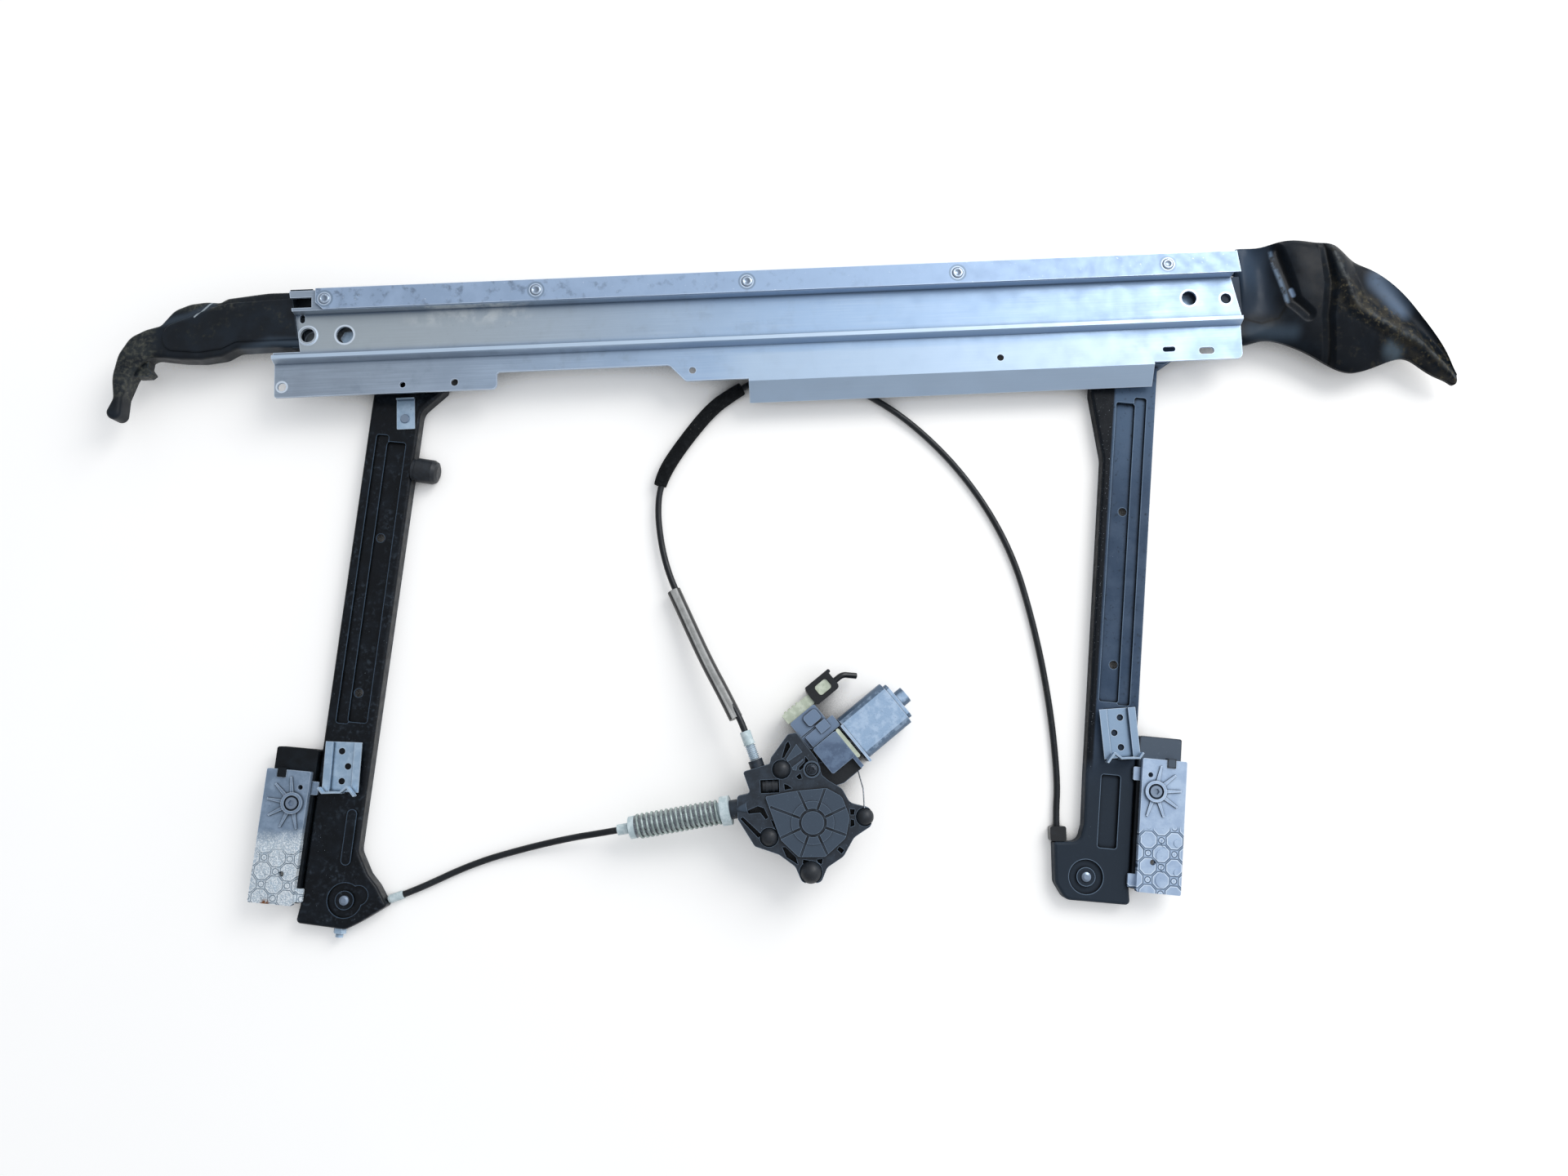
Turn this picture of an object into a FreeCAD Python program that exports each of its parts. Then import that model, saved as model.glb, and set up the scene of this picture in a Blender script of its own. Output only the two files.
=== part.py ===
import FreeCAD, Part
import math
import os

# Window regulator of a frameless car door: two guide rails hang from an aluminium waist beam,
# and a gear motor with a cable drum pulls one glass carrier up each rail through Bowden cables.
# It lies flat, with +X along the beam, +Y towards the top of the door and +Z out of the floor.
# The origin is the centre of the beam's locating hole, on the front face of the web. Millimetres.

os.makedirs("parts", exist_ok=True)

# Heights that the sub-assemblies share
floor_z = -40.0
cable_z = -36.0
drum_z = -4.0

# Waist beam: an extrusion with a closed chamber, a top ledge, a rib and a lower flange with a lip
beam_wall = 2.5
beam_left = -32.6
beam_right = 876.0
chamber_left = -14.5
end_slant = 0.13
chamber_half = 24.0
beam_back = -18.5
ledge_top = 40.6
ledge_tongue = 6.6
tongue_length = 21.0
ledge_z = 8.5
web_top = 20.0
rib_top = -17.7
rib_bottom = -22.4
rib_height = 4.0
rib_slope = 3.6
flange_z = -4.0
flange_bottom = -57.6
lip_run = 17.4
lip_drop = 14.0
lip_left = 411.0
lip_right = 792.0
tab_right = 175.5
waist_bottom = -41.5
step_left = 337.0
step_right = 352.0
beam_corner = 5.0

locating_hole_r = 6.8
collar_width = 2.0
collar_height = 1.0
access_spots = ((34.4, -0.6, 8.0), (828.2, 1.3, 7.0))
end_hole_spot = (862.7, -0.5)
end_hole_r = 5.0
keyhole_spot = (-5.2, 16.2)
keyhole_r = 2.4
keyhole_length = 8.0
fixing_y = -47.6
fixing_left = 358.7
fixing_pitch = 289.1
fixing_r = 3.2
tab_holes = ((-25.6, -47.4, 4.0), (87.3, -49.9, 2.8), (135.8, -49.6, 3.5))
slot_holes = ((806.5, -46.2, 2.5, 12.0), (841.7, -48.9, 3.4, 14.4))

# Seal strip, riveted on the ledge
strip_left = 10.8
strip_right = 875.0
strip_width = 20.4
strip_thick = 2.5
strip_chamfer = 7.0
rivet_first = 19.2
rivet_pitch = 197.0
rivet_count = 5
rivet_r = 2.4
rivet_head_r = 6.4
rivet_head = 1.1
rivet_bulb_r = 3.6
rivet_bulb = 2.2
rivet_gap = 0.15

# Bolts that hold the rail heads against the back of the chamber
bolt_r = 4.0
bolt_gap = 0.2
bolt_flats = 13.0
bolt_head = 5.5
nut_height = 6.5

# Guide rails, pressed from steel sheet. A rail's own plan is (out, up): out is the distance from its
# centre line towards the end of the beam, up is the height above its lower pulley.
rail_lean = 7.85
rail_foot = {"left": (11.95, -518.5), "right": (712.7, -530.7)}
sheet = 1.6
rail_half = 23.5
rail_face = -25.0
guide_depth = 8.0
guide_start = -13.0
head_base = 482.0
head_top = {"left": 545.0, "right": 562.0}
head_inner = {"left": -50.0, "right": -39.0}
head_outer = {"left": 62.0, "right": 55.0}
pocket_base = 159.0
pocket_top = {"left": 424.0, "right": 444.0}
pocket_in = -14.0
pocket_out = 4.5
pocket_depth = 5.0
step_out = 14.5
step_depth = 2.6
pocket_round = 2.5
rail_hole_r = 4.0
rail_hole_up = {"left": (332.0, 186.0), "right": (339.0, 194.0)}
rail_hole_out = -1.0
emboss = (-7.5, 10.0, 27.0, 93.0)
emboss_depth = 3.5
bead_width = 9.0
bead_height = 2.0
bead_spots = ((-12.8, 31.0, 81.0),)
lobe_spot = (-28.0, 5.5)
lobe_r = 8.6
rim_round = 3.0

# Cable pulleys, two in each rail, on stepped rivets
pulley_out = -16.0
pulley_up = (0.0, 525.0)
pulley_r = 13.0
pulley_thick = 4.8
pulley_pin_r = 3.0
running_gap = 0.05
side_gap = 0.3
rope_r = 0.75
rope_lift = 0.35
groove_root_r = 11.2
groove_half = 1.8
groove_root_half = 1.0
dish_r = 15.5
dish_boss_r = 8.5
dish_depth = 2.5
pin_shoulder_r = 5.0
pin_head_r = 4.6
pin_head = 2.2
pin_foot = 1.2

# Glass carriers, which run on the outer guide edge of each rail
travel = 330.0
plate_in = 27.0
plate_width = 40.0
plate_base = -8.0
plate_top = 111.0
plate_z = -22.0
plate_thick = 6.0
plate_corner = 1.5
hub_spot = (39.5, 82.0)
hub_r = 9.6
hub_height = 3.0
hub_well_r = 7.0
ray_count = 6
ray_start = 80.0
ray_step = 37.4
ray_length = 22.0
ray_wide = 3.2
ray_narrow = 1.6
ray_height = 1.4
ear_in = 20.6
ear_length = 12.0
ear_base = (-5.0, 90.5)
ear_out = 30.0
ear_gap = 0.6
ear_under = 0.5
seat_gap = 0.3
plate_holes = ((34.6, 96.5, 2.3), (40.6, 19.0, 2.6))
boss_discs = (
    (36.0, 37.0, 8.0),
    (51.0, 37.0, 3.8),
    (50.7, 24.8, 7.6),
    (51.3, 14.0, 3.2),
    (50.3, 4.0, 6.6),
    (62.0, 38.0, 3.6),
    (62.5, 12.0, 3.0),
)
disc_height = 0.7
notch = (49.0, 57.0, 104.0)
notch_gap = 0.25
slider_gap = 0.5
slider_base = -6.0
slider_top = 100.0
slider_floor = 1.4
arm_base = 32.0
arm_top = 90.0
arm_end = -9.0
jaw_in = 25.0
jaw_out = 63.0
jaw_base = 62.0
jaw_top = 131.0
jaw_back = -37.5
glass_slot = 5.0
glass_slot_z = -29.6
glass_slot_base = 96.0
clamp_r = 3.0
clamp_head_r = 5.2
clamp_head = 4.0

# Brackets, clip, buffer and adjuster that stay on the rails
bracket_spot = {"left": (1.0, 118.0), "right": (5.6, 131.5)}
bracket_turn = {"left": -3.3, "right": 9.6}
bracket_width = 33.0
bracket_length = 45.0
bracket_side = 6.6
bracket_rise = 4.0
bracket_sheet = 1.5
bracket_hole_r = 3.0
bracket_holes = ((2.6, 14.0), (-4.0, 0.5), (0.6, -13.0))
lug_path = ((-16.0, -3.0), (-9.0, 5.0), (-3.0, 0.0), (13.0, -1.0), (17.0, 3.5))
lug_low = 9.0
lug_height = 7.0
lug_start = -17.4
clip_spot = (-10.5, 452.0)
clip_size = (17.0, 30.0)
clip_turn = 8.0
clip_sheet = 1.4
clip_rivet_drop = 5.0
clip_rivet_head_r = 4.4
buffer_up = 400.0
buffer_r = 11.5
buffer_length = 24.5
buffer_stem_r = 4.0
adjuster_out = -13.5
adjuster_r = 5.0
adjuster_length = 9.0
adjuster_z = -32.5

# Gear motor and drum, placed from the drum's axis
drum_spot = (451.9, -468.0)
motor_turn = 37.0
drum_r = 23.0
drum_height = 9.0
drum_core_r = 17.0
drum_turns = 5
spindle_r = 5.0
housing_floor = -12.0
housing_floor_thick = 2.5
housing_top = 3.0
housing_wall = 2.2
drum_room = 1.2
cover_thick = 2.5
cover_rib = 1.2
cover_hub_r = 10.0
cover_ring_r = 19.0
ball_spots = ((-25.6, 47.7, 8.3), (46.5, 3.0, 8.0), (-39.0, -11.2, 8.3), (-3.5, -43.1, 10.0))
ball_z = 0.0
ball_stem_r = 4.0
ball_flat = 0.55
pocket_floor = 4.0
boss_spot = (1.3, 46.5)
boss_r = 7.6
boss_rise = 1.0
boss_screw_r = 2.6
boss_screw_head_r = 4.2

gear_module = 1.0
wheel_teeth = 56
worm_starts = 2
worm_pitch_r = 5.5
wheel_thick = 9.0
worm_z = -22.0
wheel_gap = 1.0
gear_top = -12.2
gear_base = -34.0
gear_wall = 2.4
worm_gap = 0.4
block_along = (41.0, 67.0)
block_side = (20.7, 49.5)
block_z = (-38.0, -4.5)
module_along = (39.6, 68.0)
module_side = (49.9, 80.0)
module_z = (-36.0, -9.0)
gasket_thick = 3.5
can_start = 75.5
can_end = 126.0
can_half = 22.5
can_flat_half = 12.5
can_thick = 36.0
can_wall = 1.6
flange_half = 24.5
flange_thick = 2.0
nose_r = 7.8
nose_length = 9.0
rotor_r = 10.5
rotor_along = (86.0, 114.0)
shaft_r = 2.5
magnet_thick = 3.6
lead_r = 2.8
wire_r = 0.6
wire_points = ((43.4, 42.6, -11.3), (46.6, 27.0, -3.0), (46.2, 10.6, 5.0))

# Cable fittings
conduit_r = 3.0
spring_r = 11.4
spring_wire_r = 1.25
spring_coils = 17
spring_start = (-158.6, 1.8, -16.5)
spring_end = (-80.4, 12.6, -7.0)
seat_r = 13.2
seat_thick = 8.0
inlet_r = 8.5
cap_washer_r = 10.2
cap_r = 4.9
cap_gap = 2.0
cap_length = 9.6
socket_gap = 0.1
socket_depth = 5.0
upper_length = 27.0
exit_run = 16.0

# End pieces: the left one is a bent boot with a raised lobe, the right one a folded shell. Their plans
# count x from the beam's own ends.
boot_gap = 0.2
boot_top = 0.0
boot_depth = 18.0
boot_wall = 2.6
boot_rim = 4.0
boot_outline = (
    (24.0, 43.6, 0.0), (-23.0, 44.2, 60.0), (-62.0, 40.3, 12.0), (-69.0, 36.4, 8.0), (-82.0, 37.8, 25.0),
    (-97.0, 36.3, 25.0), (-112.0, 30.8, 20.0), (-124.5, 16.5, 9.0), (-138.0, 13.3, 20.0),
    (-153.0, 6.5, 20.0), (-164.0, -10.0, 25.0), (-169.3, -32.0, 40.0), (-167.5, -52.0, 10.0),
    (-176.6, -70.0, 6.5), (-161.0, -73.0, 6.5), (-159.0, -51.0, 12.0), (-151.5, -32.5, 10.0),
    (-144.0, -22.0, 10.0), (-134.0, -13.0, 10.0), (-106.0, -17.3, 25.0), (-87.0, -18.3, 25.0),
    (-67.0, -16.0, 12.0), (-54.5, -9.5, 12.0), (-25.0, -9.0, 60.0), (24.0, -10.3, 0.0),
)
lobe_rise = 2.0
lobe_rim = 1.6
lobe_outline = (
    (24.0, 37.6, 0.0), (-60.0, 34.6, 12.0), (-76.0, 30.8, 10.0), (-118.0, 14.5, 12.0), (-123.0, 2.0, 14.0),
    (-117.0, -9.0, 10.0), (-87.0, -12.0, 25.0), (-66.0, -9.5, 12.0), (-53.0, -3.2, 12.0), (24.0, -3.6, 0.0),
)
barb_depth = 12.0
barb_outline = (
    (-144.0, -13.0, 1.0), (-137.0, -15.0, 1.0), (-138.0, -22.0, 1.0), (-134.0, -28.0, 1.0),
    (-138.0, -31.0, 1.0), (-150.0, -31.0, 1.0),
)
lip_length = 20.0
lip_thick = 2.2
lip_gap = 1.4
lip_top = 3.0
prong_gap = 0.3
prong_reach = 42.0
prong_upper = (10.5, 18.5)
prong_lower = (-10.6, -7.4)
tenon_reach = 24.0
shelf_reach = 10.0
shelf_thick = 2.5
shell_thick = 3.0
shell_shares = (0.0, 0.12, 0.32, 0.5, 0.68, 0.88, 1.0)
shell_stations = (
    (0.3, -41.0, 47.3, (-12.0, -6.5, -9.0, -9.0, -9.0, -8.0, -2.0)),
    (19.0, -39.5, 48.2, (-12.0, -6.0, -9.0, -9.0, -9.0, -8.0, -2.0)),
    (35.0, -40.2, 51.5, (-12.5, -6.0, -6.5, -7.5, -8.0, -7.0, -2.0)),
    (50.0, -45.5, 55.0, (-13.0, -6.0, -2.0, 0.0, 0.5, 0.0, -3.0)),
    (65.0, -53.0, 54.5, (-13.5, -6.0, -1.0, 2.0, 3.0, 2.5, -3.0)),
    (81.0, -63.5, 51.8, (-14.0, -7.0, -2.0, 1.0, 2.0, 2.0, -3.0)),
    (96.0, -71.5, 48.0, (-14.0, -7.0, -1.0, 3.0, 4.5, 4.5, -2.0)),
    (111.0, -72.8, 32.5, (-14.0, -7.5, -1.0, 3.0, 2.5, 1.0, -3.0)),
    (126.0, -69.0, 24.5, (-14.0, -7.0, 0.5, 1.5, -2.0, -3.0, -4.0)),
    (142.0, -63.5, 13.5, (-14.0, -6.5, 0.0, -1.0, -5.0, -6.0, -4.0)),
    (158.0, -62.0, -2.5, (-15.0, -8.0, -2.0, -4.0, -8.0, -8.0, -5.0)),
    (172.0, -71.0, -21.0, (-16.0, -10.0, -5.0, -7.0, -10.0, -10.0, -7.0)),
    (186.0, -80.0, -42.0, (-17.0, -12.0, -9.0, -10.0, -12.0, -12.0, -9.0)),
    (197.0, -85.6, -62.0, (-18.0, -15.0, -12.0, -13.0, -14.0, -14.0, -12.0)),
    (204.5, -86.6, -79.0, (-18.0, -17.0, -16.0, -16.0, -16.0, -16.0, -15.0)),
)


# General shape helpers
def vec(x, y, z=0.0):
    return FreeCAD.Vector(x, y, z)


def cylinder(x, y, z_low, z_high, radius):
    return Part.makeCylinder(radius, z_high - z_low, vec(x, y, z_low))


def rod(start, end, radius):
    along = end - start
    return Part.makeCylinder(radius, along.Length, start, along)


def block(x_low, x_high, y_low, y_high, z_low, z_high):
    return Part.makeBox(x_high - x_low, y_high - y_low, z_high - z_low, vec(x_low, y_low, z_low))


def rounded_wire(points, z=0.0):
    """Closed plan outline from (x, y, corner radius) points."""
    count = len(points)
    corners = []
    for i, (x, y, radius) in enumerate(points):
        here = vec(x, y, z)
        back = (vec(points[i - 1][0], points[i - 1][1], z) - here).normalize()
        ahead = (vec(points[(i + 1) % count][0], points[(i + 1) % count][1], z) - here).normalize()
        half = back.getAngle(ahead) / 2
        if radius <= 0:
            corners.append((here, None, here))
        else:
            reach = radius / math.tan(half)
            middle = here + (back + ahead).normalize() * (radius / math.sin(half) - radius)
            corners.append((here + back * reach, middle, here + ahead * reach))
    edges = []
    for i, (start, middle, end) in enumerate(corners):
        if middle is not None:
            edges.append(Part.Arc(start, middle, end).toShape())
        after = corners[(i + 1) % count][0]
        if (after - end).Length > 1e-4:
            edges.append(Part.LineSegment(end, after).toShape())
    return Part.Wire(edges)


def slab(points, z_low, z_high):
    outline = [point if len(point) == 3 else (point[0], point[1], 0.0) for point in points]
    return Part.Face(rounded_wire(outline, z_low)).extrude(vec(0, 0, z_high - z_low))


def rounded_box(x_low, x_high, y_low, y_high, z_low, z_high, radius):
    corners = ((x_low, y_low), (x_high, y_low), (x_high, y_high), (x_low, y_high))
    return slab([(x, y, radius) for x, y in corners], z_low, z_high)


def slot_plug(x, y, half_width, length, z_low, z_high):
    """Upright plug of a slot that runs along X."""
    reach = length / 2
    return rounded_box(x - reach, x + reach, y - half_width, y + half_width, z_low, z_high, half_width * 0.999)


def profile_bar(points, x_low, x_high):
    """Bar along X with a (y, z) section."""
    corners = [vec(x_low, y, z) for y, z in points]
    return Part.Face(Part.makePolygon(corners + corners[:1])).extrude(vec(x_high - x_low, 0, 0))


def turned(points, base, axis):
    """Solid of revolution from (radius, height) points about the axis through base."""
    corners = [vec(r, 0, h) for r, h in points]
    solid = Part.Face(Part.makePolygon(corners + corners[:1])).revolve(vec(0, 0, 0), vec(0, 0, 1), 360)
    solid.Placement = FreeCAD.Placement(base, FreeCAD.Rotation(vec(0, 0, 1), axis))
    return solid


def hexagon(x, y, z_low, z_high, flats):
    reach = flats / math.sqrt(3)
    angles = [math.radians(60 * i) for i in range(6)]
    return slab([(x + reach * math.cos(a), y + reach * math.sin(a)) for a in angles], z_low, z_high)


def pipe(edges, radius):
    """Round bar of one radius along tangent straight and round edges."""
    path = Part.Wire(edges)
    first = path.OrderedEdges[0]
    start = first.valueAt(first.FirstParameter)
    heading = first.tangentAt(first.FirstParameter)
    profile = Part.Wire(Part.Circle(start, heading, radius).toShape())
    shell = Part.BRepOffsetAPI.MakePipeShell(path)
    shell.add(profile)
    shell.build()
    shell.makeSolid()
    return shell.shape()


def fused(shapes):
    whole = shapes[0]
    for shape in shapes[1:]:
        whole = whole.fuse(shape)
    return whole.removeSplitter()


def save(name, *solids):
    """Write one sub-part, as a single solid or as a group of separate ones."""
    parts = []
    for solid in solids:
        parts.extend(solid.Solids)
    shape = parts[0] if len(parts) == 1 else Part.makeCompound(parts)
    shape.exportStep("parts/" + name + ".step")


# Waist beam
flange_back = flange_z - beam_wall
lip_bottom = flange_bottom - lip_run - beam_wall
rib_foot = rib_bottom - rib_slope


def beam_section():
    lip_tip_z = flange_z - lip_drop
    inward = beam_wall * 0.62
    drop = beam_wall * 0.78
    return [
        (ledge_top, ledge_z),
        (web_top + 1.0, ledge_z),
        (web_top, 0.0),
        (rib_top, 0.0),
        (rib_top - 1.3, rib_height),
        (rib_bottom, rib_height),
        (rib_foot, flange_z),
        (flange_bottom - beam_wall, flange_z),
        (lip_bottom, lip_tip_z),
        (lip_bottom + inward, lip_tip_z - drop),
        (flange_bottom - beam_wall + 1.0, flange_back),
        (-chamber_half, flange_back),
        (-chamber_half, beam_back),
        (chamber_half, beam_back),
        (chamber_half, ledge_z - beam_wall),
        (ledge_top, ledge_z - beam_wall),
    ]


def beam_plan():
    lip_reach = lip_bottom - 2.0
    tab_top = rib_top + 2.2
    return [
        (beam_left, tab_top, 1.0),
        (beam_left, flange_bottom, 2.0),
        (tab_right, flange_bottom, beam_corner),
        (tab_right, waist_bottom, 3.0),
        (step_left, waist_bottom, beam_corner),
        (step_right, flange_bottom, beam_corner),
        (lip_left, flange_bottom, 0.0),
        (lip_left, lip_reach, 0.0),
        (lip_right, lip_reach, 0.0),
        (lip_right, flange_bottom, 0.0),
        (beam_right - 1.0, flange_bottom, beam_corner),
        (beam_right, rib_top, 0.0),
        (beam_right - 7.0, web_top, 0.0),
        (beam_right - 8.0, ledge_top + 1.0, 0.0),
        (chamber_left, ledge_top + 1.0, 0.0),
        (chamber_left + end_slant * (ledge_top + 1.0 - tab_top), tab_top, 0.0),
    ]


def rivet_places():
    return [rivet_first + i * rivet_pitch for i in range(rivet_count)]


rivet_y = ledge_top - strip_width / 2 + 0.9


def waist_beam():
    beam = profile_bar(beam_section(), beam_left, beam_right)
    inner = chamber_half - beam_wall
    chamber = block(beam_left - 1, beam_right + 1, -inner, inner, beam_back + beam_wall, -beam_wall)
    beam = beam.cut(chamber)
    beam = beam.common(slab(beam_plan(), beam_back - 5, ledge_z + 5))
    collar = cylinder(0, 0, -beam_wall, collar_height, locating_hole_r + collar_width)
    beam = beam.fuse(collar)
    tongue_foot = ledge_top - ledge_tongue
    holes = [
        cylinder(0, 0, -beam_wall - 1, collar_height + 1, locating_hole_r),
        block(chamber_left - 1, chamber_left + tongue_length, chamber_half, tongue_foot, 0, ledge_z + 1),
    ]
    for (x, y, radius) in access_spots:
        holes.append(cylinder(x, y, -beam_wall - 1, 1, radius))
        holes.append(cylinder(x, y, beam_back - 1, beam_back + beam_wall + 1, bolt_r + bolt_gap))
    holes.append(cylinder(end_hole_spot[0], end_hole_spot[1], -beam_wall - 1, 1, end_hole_r))
    keyhole = slot_plug(0, 0, keyhole_r, keyhole_length, -beam_wall - 1, 1)
    keyhole.rotate(vec(0, 0, 0), vec(0, 0, 1), 90)
    keyhole.translate(vec(keyhole_spot[0], keyhole_spot[1], 0))
    holes.append(keyhole)
    for i in range(2):
        holes.append(cylinder(fixing_left + i * fixing_pitch, fixing_y, flange_back - 1, flange_z + 1, fixing_r))
    for x, y, radius in tab_holes:
        holes.append(cylinder(x, y, flange_back - 1, flange_z + 1, radius))
    for x, y, half_width, length in slot_holes:
        holes.append(slot_plug(x, y, half_width, length, flange_back - 1, flange_z + 1))
    for x in rivet_places():
        holes.append(cylinder(x, rivet_y, ledge_z - beam_wall - 1, ledge_z + 1, rivet_r + rivet_gap))
    return beam.cut(Part.makeCompound(holes))


def seal_strip():
    low = ledge_top + 1.0 - strip_width
    high = ledge_top + 1.0
    plan = [
        (strip_left, low + strip_chamfer),
        (strip_left + strip_chamfer, low),
        (strip_right, low),
        (strip_right - 2.0, high),
        (strip_left, high),
    ]
    strip = slab(plan, ledge_z, ledge_z + strip_thick)
    holes = [cylinder(x, rivet_y, ledge_z - 1, ledge_z + strip_thick + 1, rivet_r + rivet_gap) for x in rivet_places()]
    return strip.cut(Part.makeCompound(holes))


def blind_rivet(x, y, grip_low, grip_high, head_r):
    """Set blind rivet through a grip from its bulb to its head."""
    profile = [
        (0, grip_low - rivet_bulb),
        (rivet_bulb_r, grip_low - rivet_bulb),
        (rivet_bulb_r, grip_low),
        (rivet_r, grip_low),
        (rivet_r, grip_high),
        (head_r, grip_high),
        (head_r - 0.6, grip_high + rivet_head),
        (0, grip_high + rivet_head),
    ]
    return turned(profile, vec(x, y, 0), vec(0, 0, 1))


def head_bolt(x, y):
    seat = beam_back + beam_wall
    under = beam_back - sheet
    shank = cylinder(x, y, under - nut_height - 1.5, seat + 0.5, bolt_r)
    head = hexagon(x, y, seat, seat + bolt_head, bolt_flats)
    washer = cylinder(x, y, seat, seat + 1.2, bolt_flats / 2 + 0.9)
    nut = hexagon(x, y, under - nut_height, under, bolt_flats)
    return fused([shank, head, washer, nut])


save("waist_beam", waist_beam())
save("seal_strip", seal_strip())
strip_face = ledge_z + strip_thick
save("strip_rivets", *[
    blind_rivet(x, rivet_y, ledge_z - beam_wall, strip_face, rivet_head_r) for x in rivet_places()
])
save("head_bolts", *[head_bolt(x, y) for x, y, radius in access_spots])


# Rails
def on_rail(shape, side):
    """Place a shape drawn in a rail's own plan; the left rail is the right one's mirror image."""
    placed = shape.copy()
    if side == "left":
        placed = placed.mirror(vec(0, 0, 0), vec(1, 0, 0))
    placed.rotate(vec(0, 0, 0), vec(0, 0, 1), -rail_lean)
    placed.translate(vec(rail_foot[side][0], rail_foot[side][1], 0))
    return placed


def rail_spot(side, out, up, z):
    """World point of a place in a rail's own plan."""
    hand = -1.0 if side == "left" else 1.0
    lean = math.radians(rail_lean)
    x = hand * out * math.cos(lean) + up * math.sin(lean)
    y = -hand * out * math.sin(lean) + up * math.cos(lean)
    return vec(rail_foot[side][0] + x, rail_foot[side][1] + y, z)


def rail_place(side, x, y):
    """Place in a rail's own plan of a world point."""
    hand = -1.0 if side == "left" else 1.0
    lean = math.radians(rail_lean)
    dx = x - rail_foot[side][0]
    dy = y - rail_foot[side][1]
    return hand * (dx * math.cos(lean) - dy * math.sin(lean)), dx * math.sin(lean) + dy * math.cos(lean)


left_outline = [
    (rail_half, head_base + 20, 0),
    (-rail_half - 20, head_base + 20, 0),
    (-rail_half - 20, head_base - 4, 3),
    (-rail_half, head_base - 26, 14),
    (-rail_half + 1.5, 44, 12),
    (-33.5, 24.5, 8),
    (-43.0, 15.0, 10),
    (-54.5, -1.5, 3),
    (-33.0, -17.5, 6),
    (-20.0, -25.6, 8),
    (rail_half + 2.0, -24.0, 4),
    (rail_half, -8.0, 6),
]
right_outline = [
    (rail_half, head_base + 20, 0),
    (-rail_half - 15, head_base + 20, 0),
    (-rail_half - 15, head_base - 32, 10),
    (-rail_half, head_base - 94, 30),
    (-rail_half + 2.0, 92, 20),
    (-rail_half + 3.0, 46, 0),
    (-rail_half, 30.5, 9),
    (-46.5, 28.2, 2),
    (-43.0, -8.0, 10),
    (-33.0, -22.0, 9),
    (rail_half + 2.0, -21.5, 4),
    (rail_half, -6.0, 6),
]
rail_outline = {"left": left_outline, "right": right_outline}


def head_outline(side, inset=0.0):
    low, high = head_base, head_top[side]
    return [
        (head_outer[side] - inset, low + 24 + inset, 6),
        (head_outer[side] - inset, high - inset, 6),
        (head_inner[side] + inset, high - inset, 6),
        (head_inner[side] + inset, low + inset, 6),
        (rail_half + 3 - inset, low + inset, 6),
    ]


def recess(o_low, o_high, w_low, w_high, depth):
    """Tray to add under the sheet and plug to cut from it, for one pressed recess."""
    tray = rounded_box(
        o_low - sheet, o_high + sheet, w_low - sheet, w_high + sheet, rail_face - depth - sheet, rail_face - 0.2,
        pocket_round + sheet)
    plug = rounded_box(o_low, o_high, w_low, w_high, rail_face - depth, rail_face + 1, pocket_round)
    return tray, plug


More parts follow.
